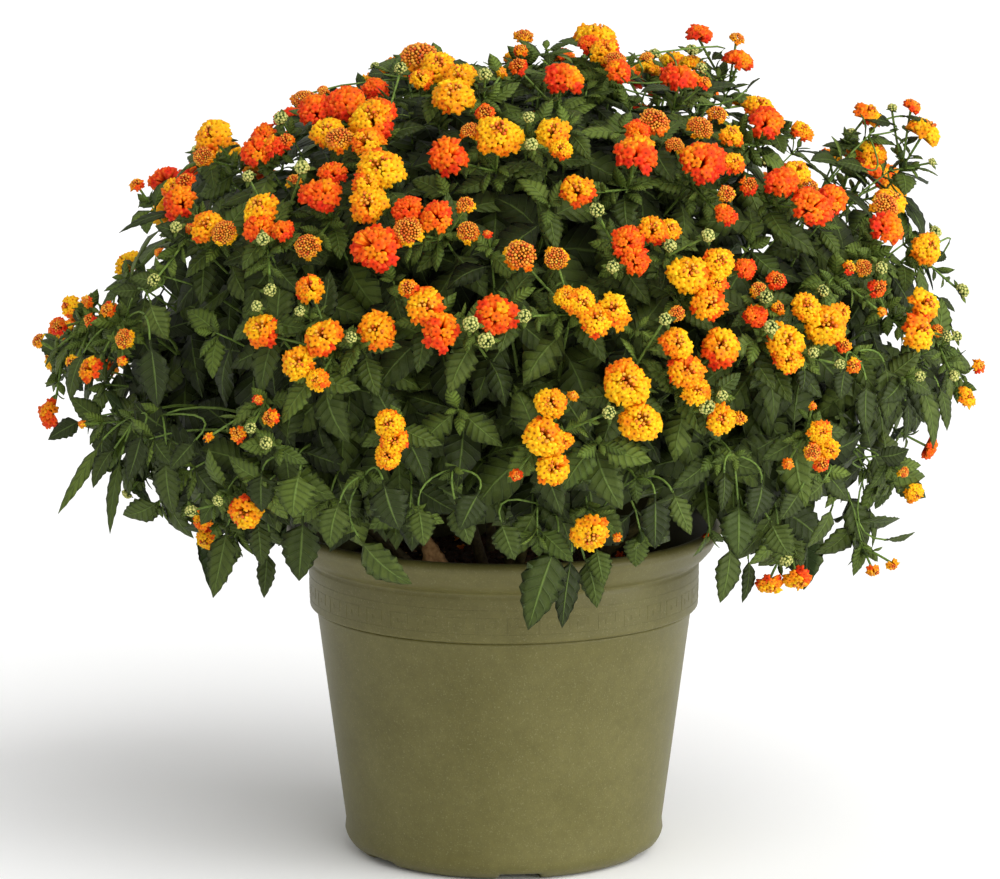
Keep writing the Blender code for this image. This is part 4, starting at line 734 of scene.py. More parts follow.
# Polypropylene, injection moulded with a matt grain: a soft broad sheen over a colour with pale mineral
# flecks. The flecks are really half a millimetre across, and are drawn at 1.1 mm so that they show.
def makePotFinish():
    made, tree, shader, place = newFinish("mouldedPolypropylene", 0.46, 1.49)
    shader.inputs["Specular IOR Level"].default_value = 0.30  # a dull, weathered skin
    cloud = addNode(tree, "TexNoise", Vector=place, Scale=1 / 0.045, Detail=2.0)  # 45 mm across
    fleck = addNode(tree, "TexNoise", Vector=place, Scale=1 / 0.0011, Detail=1.0)
    scuff = addNode(tree, "TexNoise", Vector=place, Scale=1 / 0.0060, Detail=5.0, Roughness=0.7)  # 6 mm
    base = addNode(tree, "ValToRGB", stops=((0.25, "#5a5529"), (0.75, "#656034")), Fac=cloud)
    pale = addNode(tree, "Math", mathOf["CLIP"], n0=fleck, n1=6.0, n2=-3.6)
    pale = addNode(tree, "Math", mathOf["MULTIPLY"], n0=pale, n1=0.22)
    flecked = addNode(tree, "Mix", paint, output=2, n0=pale, n6=base, n7=colourOf("#a3a17c"))
    worn = addNode(tree, "ValToRGB", stops=((0.35, "#dcdcd6"), (0.65, "#ffffff")), Fac=scuff)
    tone = addNode(tree, "Mix", multiply, output=2, n0=0.5, n6=flecked, n7=worn)
    plug(tree, tone, shader, "Base Color")
    grain = addNode(tree, "Bump", Strength=0.12, Distance=0.0004, Height=fleck)
    plug(tree, grain, shader, "Normal")
    return made


# Peat and bark potting mix, damp: nearly black crumbs of 2 to 4 mm with red-brown bark and no shine.
def makeSoilFinish():
    made, tree, shader, place = newFinish("peatPottingMix", 0.92, 1.45)
    grit = addNode(tree, "TexNoise", Vector=place, Scale=1 / 0.004, Detail=4.0, Roughness=0.7)
    crumb = addNode(tree, "TexNoise", Vector=place, Scale=1 / 0.002, Detail=4.0, Roughness=0.7)
    dark, brown, rust = (0.30, "#22140c"), (0.52, "#452a16"), (0.72, "#7a4a2a")
    tone = addNode(tree, "ValToRGB", stops=(dark, brown, rust), Fac=grit)
    plug(tree, tone, shader, "Base Color")
    plug(tree, addNode(tree, "Bump", Strength=0.8, Distance=0.002, Height=crumb), shader, "Normal")
    return made


# Lantana leaf, a rough living blade: quilted up between sunken veins, which show paler, and greyer beneath,
# with painted shade darkening the hollows along the side veins. The side veins run at a slant, where along -
# 0.16 |across| is a whole eighth of the length, 5 mm apart. Patches are 10 mm across and the pucker between
# the finest veins 1.6 mm.
def makeLeafFinish():
    made, tree, shader, place = newFinish("lantanaLeafBlade", 0.56, 1.42)
    shader.inputs["Specular IOR Level"].default_value = 0.28  # short hairs dull the blade's shine
    across, along, under, tint, young = (
        addNode(tree, "Attribute", {"attribute_name": "blade" + key}, output="Fac")
        for key in ("Across", "Along", "Under", "Tint", "Young")
    )
    side = addNode(tree, "Math", mathOf["ABSOLUTE"], n0=across)
    slant = addNode(tree, "Math", mathOf["BLEND"], n0=side, n1=-0.16, n2=along)
    count = addNode(tree, "Math", mathOf["MULTIPLY"], n0=slant, n1=8.0)
    wave = addNode(tree, "Math", mathOf["FRACT"], n0=count)
    ridge = addNode(tree, "Math", mathOf["SUBTRACT"], n0=wave, n1=0.5)
    ridge = addNode(tree, "Math", mathOf["ABSOLUTE"], n0=ridge)
    sideVein = addNode(tree, "Math", mathOf["CLIP"], n0=ridge, n1=11.0, n2=-4.6)
    midVein = addNode(tree, "Math", mathOf["CLIP"], n0=side, n1=-14.0, n2=1.2)
    faint = addNode(tree, "Math", mathOf["MULTIPLY"], n0=sideVein, n1=0.60)
    vein = addNode(tree, "Math", mathOf["MAXIMUM"], n0=faint, n1=midVein)
    patch = addNode(tree, "TexNoise", Vector=place, Scale=1 / 0.010, Detail=3.0, Roughness=0.6)
    fine = addNode(tree, "TexNoise", Vector=place, Scale=1 / 0.0016, Detail=2.0)
    share = addNode(tree, "Math", mathOf["MULTIPLY"], n0=patch, n1=0.42)
    mood = addNode(tree, "Math", mathOf["BLEND"], n0=tint, n1=0.60, n2=share)
    greens = ((0.0, "#171d08"), (0.40, "#2c370f"), (0.75, "#44521a"), (1.0, "#64722e"))
    old = addNode(tree, "ValToRGB", stops=greens, Fac=mood)
    fresh = addNode(tree, "ValToRGB", stops=((0.0, "#435818"), (1.0, "#728630")), Fac=mood)
    top = addNode(tree, "Mix", paint, output=2, n0=young, n6=old, n7=fresh)
    # Painted shade: the blade's colour is darkened towards the sunken side veins, where the hollows would lie
    # in shade, and left full on the bulges between them.
    valley = addNode(tree, "Math", mathOf["MULTIPLY"], n0=ridge, n1=ridge)
    bulge = addNode(tree, "Math", mathOf["CLIP"], n0=valley, n1=-4.0, n2=1.0)
    shade = addNode(tree, "ValToRGB", stops=((0.0, "#c8c8c8"), (0.7, "#ffffff")), Fac=bulge)
    top = addNode(tree, "Mix", multiply, output=2, n0=0.9, n6=top, n7=shade)
    veinShare = addNode(tree, "Math", mathOf["MULTIPLY"], n0=vein, n1=0.40)
    veined = addNode(tree, "Mix", paint, output=2, n0=veinShare, n6=top, n7=colourOf("#7f9a48"))
    grey, greyVein = colourOf("#42532e"), colourOf("#84976a")
    below = addNode(tree, "Mix", paint, output=2, n0=veinShare, n6=grey, n7=greyVein)
    tone = addNode(tree, "Mix", paint, output=2, n0=under, n6=veined, n7=below)
    plug(tree, tone, shader, "Base Color")
    pucker = addNode(tree, "Math", mathOf["MULTIPLY"], n0=fine, n1=0.45)
    quilt = addNode(tree, "Math", mathOf["BLEND"], n0=bulge, n1=0.5, n2=pucker)
    quilt = addNode(tree, "Math", mathOf["SUBTRACT"], n0=quilt, n1=vein)
    plug(tree, addNode(tree, "Bump", Strength=0.7, Distance=0.0013, Height=quilt), shader, "Normal")
    return made


# Lantana corolla, thin soft petal tissue that reddens with age: matt and bright, with painted shade deep in
# its sunken throat and on the cone beneath, and a painted highlight paling its lobe tips. Its mottle is 1.8
# mm across.
def makePetalFinish():
    made, tree, shader, place = newFinish("lantanaCorolla", 0.60, 1.36)
    shader.inputs["Specular IOR Level"].default_value = 0.25  # thin tissue without a waxy skin
    age, reach = (
        addNode(tree, "Attribute", {"attribute_name": "floret" + key}, output="Fac")
        for key in ("Age", "Reach")
    )
    # The face colours by age, the dark deep ones for the painted shade in the throat, and the pale edge ones
    # for the painted highlight on the lobe tips.
    face, deep, edge = (
        addNode(tree, "ValToRGB", stops=stops, Fac=age)
        for stops in (
            ((0.0, "#f6ae08"), (0.25, "#f28c04"), (0.48, "#ee6404"), (0.72, "#ea4006"), (1.0, "#da2808")),
            ((0.0, "#a05006"), (0.4, "#9a3a04"), (0.7, "#ae2a04"), (1.0, "#a41c04")),
            ((0.0, "#ffd420"), (0.3, "#fcb414"), (0.6, "#f88018"), (1.0, "#f45820")),
        )
    )
    # Painted shade: the sunken throat, and a little of the cone under the floret, take the dark deep colours.
    throat = addNode(tree, "Math", mathOf["CLIP"], n0=reach, n1=-3.6, n2=1.5)
    # Painted highlight: the lobe tips and shoulders are mixed towards the pale edge colours.
    rim = addNode(tree, "Math", mathOf["CLIP"], n0=reach, n1=2.8, n2=-1.85)
    tone = addNode(tree, "Mix", paint, output=2, n0=rim, n6=face, n7=edge)
    tone = addNode(tree, "Mix", paint, output=2, n0=throat, n6=tone, n7=deep)
    mottle = addNode(tree, "TexNoise", Vector=place, Scale=1 / 0.0018, Detail=2.0)
    shade = addNode(tree, "ValToRGB", stops=((0.30, "#dedede"), (0.65, "#ffffff")), Fac=mottle)
    tone = addNode(tree, "Mix", multiply, output=2, n0=0.6, n6=tone, n7=shade)
    plug(tree, tone, shader, "Base Color")
    return made


# Unopened flower buds packed between green bracts: cream tips in a dark green net, deepened to painted shade
# at each bead's foot, or orange just before they open with painted shade at their feet, and a mottle of 1.2
# mm.
def makeBudFinish():
    made, tree, shader, place = newFinish("lantanaBudBract", 0.62, 1.40)
    reach, tint, warm = (
        addNode(tree, "Attribute", {"attribute_name": "floret" + key}, output="Fac")
        for key in ("Reach", "Tint", "Age")
    )
    # The bracts' own green, deepened towards each bead's foot as painted shade down between the packed beads.
    greens = ((0.0, "#e0d68c"), (0.3, "#b4b65a"), (0.6, "#4e6424"), (0.95, "#24360f"))
    green = addNode(tree, "ValToRGB", stops=greens, Fac=reach)
    ripe = addNode(tree, "ValToRGB", stops=((0.0, "#dc540e"), (0.5, "#ee8a1a"), (1.0, "#f6b638")), Fac=tint)
    # Painted shade: ripe buds are darkened towards each bead's foot, down between the packed beads.
    paintedFootShade = addNode(tree, "ValToRGB", stops=((0.35, "#ffffff"), (1.0, "#8e4416")), Fac=reach)
    ripe = addNode(tree, "Mix", multiply, output=2, n0=0.8, n6=ripe, n7=paintedFootShade)
    tone = addNode(tree, "Mix", paint, output=2, n0=warm, n6=green, n7=ripe)
    mottle = addNode(tree, "TexNoise", Vector=place, Scale=1 / 0.0012, Detail=1.0)
    shade = addNode(tree, "ValToRGB", stops=((0.3, "#d0d0d0"), (0.7, "#ffffff")), Fac=mottle)
    tone = addNode(tree, "Mix", multiply, output=2, n0=0.6, n6=tone, n7=shade)
    plug(tree, tone, shader, "Base Color")
    return made


# Lantana stem: green and bristly when young, corky brown wood near the soil, with a grain of 3 mm.
def makeStemFinish():
    made, tree, shader, place = newFinish("lantanaStemBark", 0.64, 1.42)
    age = addNode(tree, "Attribute", {"attribute_name": "stemAge"}, output="Fac")
    grain = addNode(tree, "TexNoise", Vector=place, Scale=1 / 0.003, Detail=3.0, Roughness=0.6)
    green = addNode(tree, "ValToRGB", stops=((0.3, "#445c1c"), (0.7, "#748f36")), Fac=grain)
    bark = addNode(tree, "ValToRGB", stops=((0.3, "#3f301c"), (0.7, "#6e5838")), Fac=grain)
    plug(tree, addNode(tree, "Mix", paint, output=2, n0=age, n6=green, n7=bark), shader, "Base Color")
    plug(tree, addNode(tree, "Bump", Strength=0.4, Distance=0.0006, Height=grain), shader, "Normal")
    return made


# Bark chips and a leaf dried on the soil: brittle, dull and tan, in patches of 4 mm.
def makeDryFinish():
    made, tree, shader, place = newFinish("driedLeafLitter", 0.80, 1.45)
    grain = addNode(tree, "TexNoise", Vector=place, Scale=1 / 0.004, Detail=3.0)
    tone = addNode(tree, "ValToRGB", stops=((0.3, "#7a5430"), (0.7, "#bd915c")), Fac=grain)
    plug(tree, tone, shader, "Base Color")
    plug(tree, addNode(tree, "Bump", Strength=0.3, Distance=0.0006, Height=grain), shader, "Normal")
    return made


# Puts points and faces into one mesh at the origin, with named values on its points.
def putPiece(name, spots, faceSets, finish, values=(), smooth=True):
    mesh = bpy.data.meshes.new(name)
    faceSets = [np.asarray(faces, np.int32) for faces in faceSets if len(faces)]
    corners = np.concatenate([faces.ravel() for faces in faceSets])
    sizes = np.concatenate([np.full(len(faces), faces.shape[1], np.int32) for faces in faceSets])
    mesh.vertices.add(len(spots))
    mesh.vertices.foreach_set("co", np.asarray(spots, np.float32).ravel())
    mesh.loops.add(len(corners))
    mesh.loops.foreach_set("vertex_index", corners)
    mesh.polygons.add(len(sizes))
    mesh.polygons.foreach_set("loop_start", np.concatenate([[0], np.cumsum(sizes)[:-1]]).astype(np.int32))
    mesh.polygons.foreach_set("loop_total", sizes)
    mesh.update(calc_edges=True)
    mesh.polygons.foreach_set("use_smooth", np.full(len(sizes), smooth))
    for key, value in dict(values).items():
        layer = mesh.attributes.new(key, "FLOAT", "POINT")
        layer.data.foreach_set("value", np.asarray(value, np.float32).ravel())
    mesh.materials.append(finish)
    piece = bpy.data.objects.new(name, mesh)
    bpy.context.scene.collection.objects.link(piece)
    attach(piece, "root")
    triangles["added"] += int((sizes - 2).sum())
    triangles["most"] = max(triangles["most"], int((sizes - 2).sum()))
    return piece


triangles = {"added": 0, "most": 0}


# Quads between the neighbouring points of grids of (rows, ring) points, one grid after another.
def ringQuads(grids, rows, ring):
    step = np.arange(rows - 1)[:, None] * ring + np.arange(ring)
    after = np.arange(rows - 1)[:, None] * ring + (np.arange(ring) + 1) % ring
    quads = np.stack([step, after, after + ring, step + ring], -1).reshape(-1, 4)
    return (quads + np.arange(grids)[:, None, None] * rows * ring).reshape(-1, 4)


# The two flat ends of each grid: its first ring turned over, and its last ring.
def ringCaps(grids, rows, ring):
    low = np.arange(ring)[::-1] + np.arange(grids)[:, None] * rows * ring
    high = np.arange(ring) + np.arange(grids)[:, None] * rows * ring + (rows - 1) * ring
    return np.concatenate([low, high])


# Each row over its own length.
def unitRows(v):
    return v / np.maximum(np.linalg.norm(v, axis=-1, keepdims=True), 1e-9)


potForm = {
    "turns": 288,
    "channel": (0.0700, 0.0820, 0.0060),  # a ring groove under the foot: its radii and its depth
    "heel": (0.0970, 0.0160, 0.0158),  # radius, height and size of the rounded lower edge
    "side": (0.1119, 0.0195, 0.0200, 0.1500),  # the wall's lower radius and widening, its foot and height
    "lip": 0.0048,  # radius of the rolled lip's bead
    "band": (0.1366, 0.0006),  # the band's radius at its lower edge, and how much wider it is at the upper
    "bandRise": (0.1775, 0.0270),  # the height of its lower edge, and its width
    "pads": 6,  # the foot stands on six pads with notches between them
    "padTurn": math.radians(-84),
    "notchHalf": math.radians(8),
    "notchRise": 0.0056,
    "notchSlope": math.radians(1.5),
}


# Points (radius, height) on a circle round (r, z), between two angles in degrees.
def arc(r, z, size, start, end, count=7):
    a = np.radians(np.linspace(start, end, count))
    return [(r + size * math.cos(t), z + size * math.sin(t)) for t in a]


# The band's outer radius at a height: lower radius + widening * (height - lower edge) / width.
def bandRadius(height):
    (low, wider), (edge, width) = potForm["band"], potForm["bandRise"]
    return low + wider * (height - edge) / width


# The pot's outline, from the middle of its foot up the outside, over the lip and down the inside, with the
# ledge under its band, the soft hollow above it and the rolled lip.
def potOutline():
    inner, outer, deep = potForm["channel"]
    rows = [(0.0, 0.0), (inner, 0.0), (inner, deep), (outer, deep), (outer, 0.0)]
    rows += [(potForm["heel"][0], 0.0)] + arc(*potForm["heel"], -82, -10, 9)
    low, wider, foot, tall = potForm["side"]
    rows += [(low + wider * t, foot + tall * t) for t in np.linspace(0.0, 1.0, 9)]
    rows += arc(0.1312, 0.1722, 0.0014, -40, 60, 4)
    rows += [(0.1340, 0.1742)] + arc(0.1348, 0.1762, 0.0018, -80, 0, 4)
    edge, width = potForm["bandRise"]
    rows += [(bandRadius(height), height) for height in edge + width * np.linspace(0, 1, 4)]
    rows += [(0.1371, 0.2054), (0.1367, 0.2068), (0.1368, 0.2082), (0.1378, 0.2094), (0.1394, 0.2101)]
    rows += [(0.1420, 0.2114), (0.1465, 0.2165), (0.1494, 0.2218)]
    rows += arc(0.1478, 0.2277, potForm["lip"], -45, 100, 12)
    rows += [(0.1450, 0.2318), (0.1426, 0.2280), (0.1385, 0.2160), (0.1342, 0.2080), (0.1340, 0.2000)]
    return rows + [(0.1310, 0.1860)]


# The outline turned round the upright axis: (r cos a, r sin a, z). Between the pads the foot's rim is lifted
# by notchRise, with a slope at each side. The inside closes across just under the soil's surface.
def makePot(finish):
    rows = np.array(potOutline() + [(0.0, 0.1860)])
    turns, spread = potForm["turns"], 2 * math.pi / potForm["pads"]
    angle = np.arange(turns) * 2 * math.pi / turns
    radius, height = rows[:, 0][:, None], rows[:, 1][:, None] + 0 * angle
    off = np.abs((angle - potForm["padTurn"] + spread / 2) % spread - spread / 2)
    notch = np.clip((potForm["notchHalf"] - off) / potForm["notchSlope"] + 0.5, 0, 1)
    foot = (rows[:, 0] > potForm["channel"][1] - 0.001)[:, None] & (height < potForm["notchRise"])
    height = np.where(foot, height + (potForm["notchRise"] - height) * notch, height)
    grid = np.stack([radius * np.cos(angle), radius * np.sin(angle), height], -1)
    count = len(rows) - 2
    i, j = np.arange(turns), (np.arange(turns) + 1) % turns
    poles = np.array([[0, 0, rows[0, 1]], [0, 0, rows[-1, 1]]])
    low = np.stack([j, i, np.full(turns, count * turns)], -1)
    top = np.stack([i + (count - 1) * turns, j + (count - 1) * turns, np.full(turns, count * turns + 1)], -1)
    spots = np.vstack([grid[1:-1].reshape(-1, 3), poles])
    piece = putPiece("potBody", spots, [ringQuads(1, count, turns), low, top], finish)
    piece.data.set_sharp_from_angle(angle=math.radians(50))
    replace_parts(piece, "pot")


keyForm = {
    "count": 40,  # repeats round the band
    "low": 0.1790,
    "rise": 0.0190,
    "line": 0.0022,
    "proud": 0.00015,
    "sunk": 0.0010,  # how deep a bar reaches into the band
    "slope": 0.0004,  # how far a bar's outer edges are drawn in
    # each bar as first and last share of the pitch, then first and last height in lines
    "bars": (
        (0.10, 0.20, 1.0, 6.2), (0.10, 0.82, 5.2, 6.2), (0.72, 0.82, 2.4, 6.2),
        (0.36, 0.82, 2.4, 3.4), (0.36, 0.46, 2.4, 4.3),
    ),
}


# The key fret: in each repeat a raised line rises from the lower rail, turns down and in and ends in a hook.
# Every bar is bent to the band, radius proud of it, with its outer edges drawn in to a slope.
def makeKeyBand(finish):
    key = keyForm
    rails = ((0.0, 1.0, 0.0, 1.0), (0.0, 1.0, key["rise"] / key["line"] - 1, key["rise"] / key["line"]))
    spots, faces = [], []
    fret = rails + key["bars"]
    box = np.array([[0, 3, 2, 1], [4, 5, 6, 7], [0, 1, 5, 4], [1, 2, 6, 5], [2, 3, 7, 6], [3, 0, 4, 7]])
    for k in range(key["count"]):
        for u0, u1, z0, z1 in fret:
            parts = max(1, round((u1 - u0) / 0.34))
            for i in range(parts):
                a0, a1 = ((k + u0 + (u1 - u0) * (i + e) / parts) * 2 * math.pi / key["count"] for e in (0, 1))
                for r, draft in ((-key["sunk"], 0.0), (key["proud"], key["slope"])):
                    turn = draft / 0.137 * (parts == 1)
                    for angle, z in ((a0 + turn, z0), (a1 - turn, z0), (a1 - turn, z1), (a0 + turn, z1)):
                        up = key["low"] + z * key["line"] + (draft if z == z0 else -draft)
                        out = bandRadius(up) + r
                        spots.append((out * math.cos(angle), out * math.sin(angle), up))
                faces.append(box + len(spots) - 8)
    piece = putPiece("keyBand", np.array(spots), [np.concatenate(faces)], finish, smooth=False)


soilForm = {
    "rings": 46, "turns": 150, "reach": 0.1322,
    "lumps": ((0.0016, 0.030, 3), (0.0013, 0.010, 4), (0.0008, 0.0045, 5)),  # height, wavelength and seed
    "under": (0.1290, 0.1870),  # radius and height of the flat base
    "crumbs": (1300, 0.0030, 0.7, 21),  # count, size, flatness and seed
    "bark": (90, 0.0042, 0.3, 22),
    "fallen": 16,
}


# Sine waves in nine directions, summed, as a height between about -1 and 1 over points (n, m, 2).
def waves(spots, size, seed):
    draw = np.random.default_rng(seed)
    total = 0
    for k in range(9):
        way = draw.normal(size=2)
        way = way / np.linalg.norm(way) * 2 * math.pi / size * draw.uniform(0.6, 1.8)
        total = total + np.sin(spots @ way + draw.uniform(0, 6.28))
    return total / 5


# The soil's fall from its middle to the wall.
def soilDip(radius):
    return 0.0035 * (radius / soilForm["reach"]) ** 6


# A disc whose height is soilTop plus three sizes of waves less the dip, closed by a skirt and a flat base.
def makeSoil(finish):
    rings, turns = soilForm["rings"], soilForm["turns"]
    radius = soilForm["reach"] * np.linspace(0.004, 1, rings)[:, None] ** 0.8
    angle = np.arange(turns) * 2 * math.pi / turns
    flat = np.stack([radius * np.cos(angle), radius * np.sin(angle)], -1)
    lumps = sum(high * waves(flat, size, seed) for high, size, seed in soilForm["lumps"])
    height = soilTop - 0.0010 + lumps - soilDip(radius)
    top = np.concatenate([flat, height[..., None]], -1)[::-1]
    foot, level = soilForm["under"]
    under = np.stack([foot * np.cos(angle), foot * np.sin(angle), np.full(turns, level)], -1)
    spots = np.concatenate([under[None], top]).reshape(-1, 3)
    faces = [make(1, rings + 1, turns) for make in (ringQuads, ringCaps)]
    piece = putPiece("pottingSoil", spots, faces, finish)
    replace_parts(piece, "soil")


# Loose lumps: each a pole, a ring of five and a pole, stretched, tilted and turned at random on the soil.
def makeCrumbs(name, finish, count, size, flatness, seed, reach=0.127):
    draw = np.random.default_rng(seed)
    turn = np.arange(5) * 2 * math.pi / 5
    ring = np.stack([np.cos(turn), np.sin(turn), 0 * turn], -1)
    lump = np.vstack([[(0, 0, -1)], ring, [(0, 0, 1)]])
    i, j = np.arange(5) + 1, (np.arange(5) + 1) % 5 + 1
    faces = np.concatenate([np.stack([j, i, 0 * i], -1), np.stack([i, j, 0 * i + 6], -1)])
    r, a = reach * np.sqrt(draw.random(count)), draw.random(count) * 2 * math.pi
    big = draw.uniform(0.4, 1.0, (count, 1, 1)) * size
    shape = lump[None] * draw.uniform(0.7, 1.3, (count, 7, 1)) * big * np.array([1.0, 0.7, flatness])
    spin, tilt = draw.random((count, 1)) * 2 * math.pi, draw.normal(size=(count, 1)) * 0.35
    x = shape[..., 0] * np.cos(spin) - shape[..., 1] * np.sin(spin) + (r * np.cos(a))[:, None]
    y = shape[..., 0] * np.sin(spin) + shape[..., 1] * np.cos(spin) + (r * np.sin(a))[:, None]
    z = shape[..., 2] + shape[..., 0] * tilt + soilTop - soilDip(r)[:, None]
    z = z + draw.uniform(-0.002, 0.001, (count, 1))
    every = (faces + np.arange(count)[:, None, None] * 7).reshape(-1, 3)
    piece = putPiece(name, np.stack([x, y, z], -1).reshape(-1, 3), [every], finish)


twigRule = {
    "tip": ((0.000, 0.012), (0.005, 0.020)),  # each young pair's place behind the tip, and its length
    "old": (0.30, 0.46, 0.60),  # places of the old pairs, as shares of a shoot
    "oldLength": 0.044,
    "long": 0.085,  # a shoot longer than this has old pairs
    "stalk": 0.016,  # the first pair down a head's stalk, and the step to the next
    "step": 0.010,
    "bract": 1.5,  # length of a bract under a bud head, over the head's radius
}


# Two opposite leaves, each at the angle spread from the shoot: way = axis cos(spread) + out sin(spread), a
# little drooped, and face = axis sin(spread) - out cos(spread), turned to the light.
def leafPair(spot, axis, turn, length, spread, shoot, kind, draw):
    side = unit(np.cross(axis, (0.31, 0.23, 0.92)))
    other = np.cross(axis, side)
    pair = []
    for half in (0, math.pi):
        a = turn + half + draw.uniform(-0.3, 0.3)
        out = side * math.cos(a) + other * math.sin(a)
        way = unit(axis * math.cos(spread) + out * math.sin(spread) + np.array([0, 0, -0.15]))
        face = axis * math.sin(spread) - out * math.cos(spread) * 0.6
        face = unit(face + np.array([0, -0.4, 0.3]) + shake(draw, 0.2))
        size = length * draw.uniform(0.8, 1.2)
        width = size * draw.uniform(0.45, 0.58)
        leaf = leafOn(spot, way, face, size, width, draw.uniform(0.3, 1.1), shoot, kind, draw)
        if potFree(leaf):
            pair.append(leaf)
    return pair


# Small leaves that finish the shoots: young pairs at each tip, old pairs lower down a long shoot, bracts
# under the bud heads and pairs down long stalks, each pair turned a quarter from the last.
def twigLeaves(plant, heads, draw):
    made = []
    for shoot in plant["shoots"]:
        path = shoot["path"]
        axis = unit(path[-1] - path[-2])
        turn = draw.uniform(0, math.pi)
        for back, length in twigRule["tip"]:
            spot, spread = path[-1] - axis * back, draw.uniform(0.35, 0.8)
            made += leafPair(spot, axis, turn, length, spread, shoot, "young", draw)
            turn += math.pi / 2
        run = np.linalg.norm(np.diff(path, axis=0), axis=1).sum()
        for share in twigRule["old"] if run > twigRule["long"] else ():
            spot = np.array([np.interp(share * 8, np.arange(9), path[:, i]) for i in range(3)])
            lean = unit(path[min(int(share * 8) + 1, 8)] - path[int(share * 8)])
            spread = draw.uniform(1.0, 1.5)
            made += leafPair(spot, lean, turn, twigRule["oldLength"], spread, shoot, "old", draw)
            turn += math.pi / 2
    for head in heads:
        if head["age"] == bud:
            under, length = head["at"] - head["axis"] * head["r"] * 0.5, twigRule["bract"] * head["r"]
            for turn in (0.4, 0.4 + math.pi / 2):
                spread = draw.uniform(0.7, 1.2)
                made += leafPair(under, head["axis"], turn, length, spread, head, "young", draw)
        path = stalkPath(head)
        run = np.linalg.norm(path[-1] - path[0])
        lean = unit(path[-1] - path[0])
        down = twigRule["stalk"]
        turn = draw.uniform(0, math.pi)
        while down < run:
            share = 1 - down / run
            spot = np.array([np.interp(share * 5, np.arange(6), path[:, i]) for i in range(3)])
            length = 0.007 + 0.40 * (down - 0.008)
            made += leafPair(spot, lean, turn, length, draw.uniform(0.5, 1.0), head, "young", draw)
            turn += math.pi / 2
            down += twigRule["step"]
    return made


# A path through the given one with a new count of points at even steps.
def resample(path, count):
    t = np.linspace(0, len(path) - 1, count)
    return np.stack([np.interp(t, np.arange(len(path)), path[:, i]) for i in range(3)], -1)


# Two directions square to each row's direction and to each other.
def squareTo(way):
    side = unitRows(np.cross(way, np.array([0.31, 0.23, 0.92])))
    return side, np.cross(way, side)


# Round tubes: at every point of each path, centre + radius * (side * cos a + other * sin a).
def makeTubes(name, paths, thick, sides, age, finish):
    way = unitRows(np.gradient(paths, axis=1))
    side, other = squareTo(way)
    a = np.arange(sides) * 2 * math.pi / sides
    ring = side[:, :, None] * np.cos(a)[:, None] + other[:, :, None] * np.sin(a)[:, None]
    spots = paths[:, :, None] + ring * thick[:, :, None, None]
    ages = np.broadcast_to(age[:, :, None], spots.shape[:3])
    faces = [ringQuads(*paths.shape[:2], sides), ringCaps(*paths.shape[:2], sides)]
    piece = putPiece(name, spots.reshape(-1, 3), faces, finish, {"stemAge": ages})
    return piece


# The stalk of a head leaves its shoot's tip and comes up under the head along the head's axis: a quadratic
# curve p = foot (1-t)^2 + 2 bow t (1-t) + seat t^2.
def stalkPath(head, count=6):
    foot, seat = head["from"], head["at"] - head["axis"] * head["r"] * headForm["sit"] * 0.6
    bow = foot + (seat - foot) * 0.5 - head["axis"] * np.linalg.norm(seat - foot) * 0.04
    t = np.linspace(0, 1, count)[:, None]
    return foot * (1 - t) ** 2 + bow * 2 * t * (1 - t) + seat * t**2


# The stalk of a hanging leaf: foot (1 - t)^2 + 2 bend t (1 - t) + end t^2, where bend lies behind the leaf's
# base by about half the stalk's length, and by 30 mm at most.
def leafStalkPath(leaf, count=7):
    t = np.linspace(0, 1, count)[:, None]
    bend = leaf["base"] - leaf["way"] * min(0.55 * np.linalg.norm(leaf["base"] - leaf["foot"]), 0.030)
    end = leaf["base"] + leaf["way"] * 0.002
    return leaf["foot"] * (1 - t) ** 2 + 2 * bend * t * (1 - t) + end * t**2


bladeForm = {
    "thick": 0.00030,  # half the blade's thickness at the rib
    "tooth": 0.14,  # how deep the margin's teeth cut, as a share of the half width
    "fine": 15,  # rows of points along a leaf near the crown's surface
    "coarse": 7,  # rows along a leaf deep inside
    "small": 6,  # rows along a young leaf
    # the ring of points round a blade, across it and in layers of its thickness, and one with fewer faces
    "full": ((-1, -0.5, 0, 0.5, 1, 0.5, 0, -0.5), (0, 1, 1.5, 1, 0, -1, -1.8, -1)),
    "plain": ((-1, 0, 1, 0), (0, 1.5, 0, -1.8)),
    "ripple": 0.055,  # waves along the margin, and the quilting between the veins, over the half width
    "quilt": 0.030,
    "near": 0.87,  # share of the crown's radius beyond which a leaf is fine
}


# Half the width of a blade along its length: sin(pi t^0.66)^0.8, less a little towards the tip.
def bladeHalf(s, stalk):
    t = np.clip((s - stalk) / (1 - stalk), 0, 1)
    shape = np.sin(math.pi * t**0.66) ** 0.80 * (1 - 0.18 * t)
    return shape / shape.max()


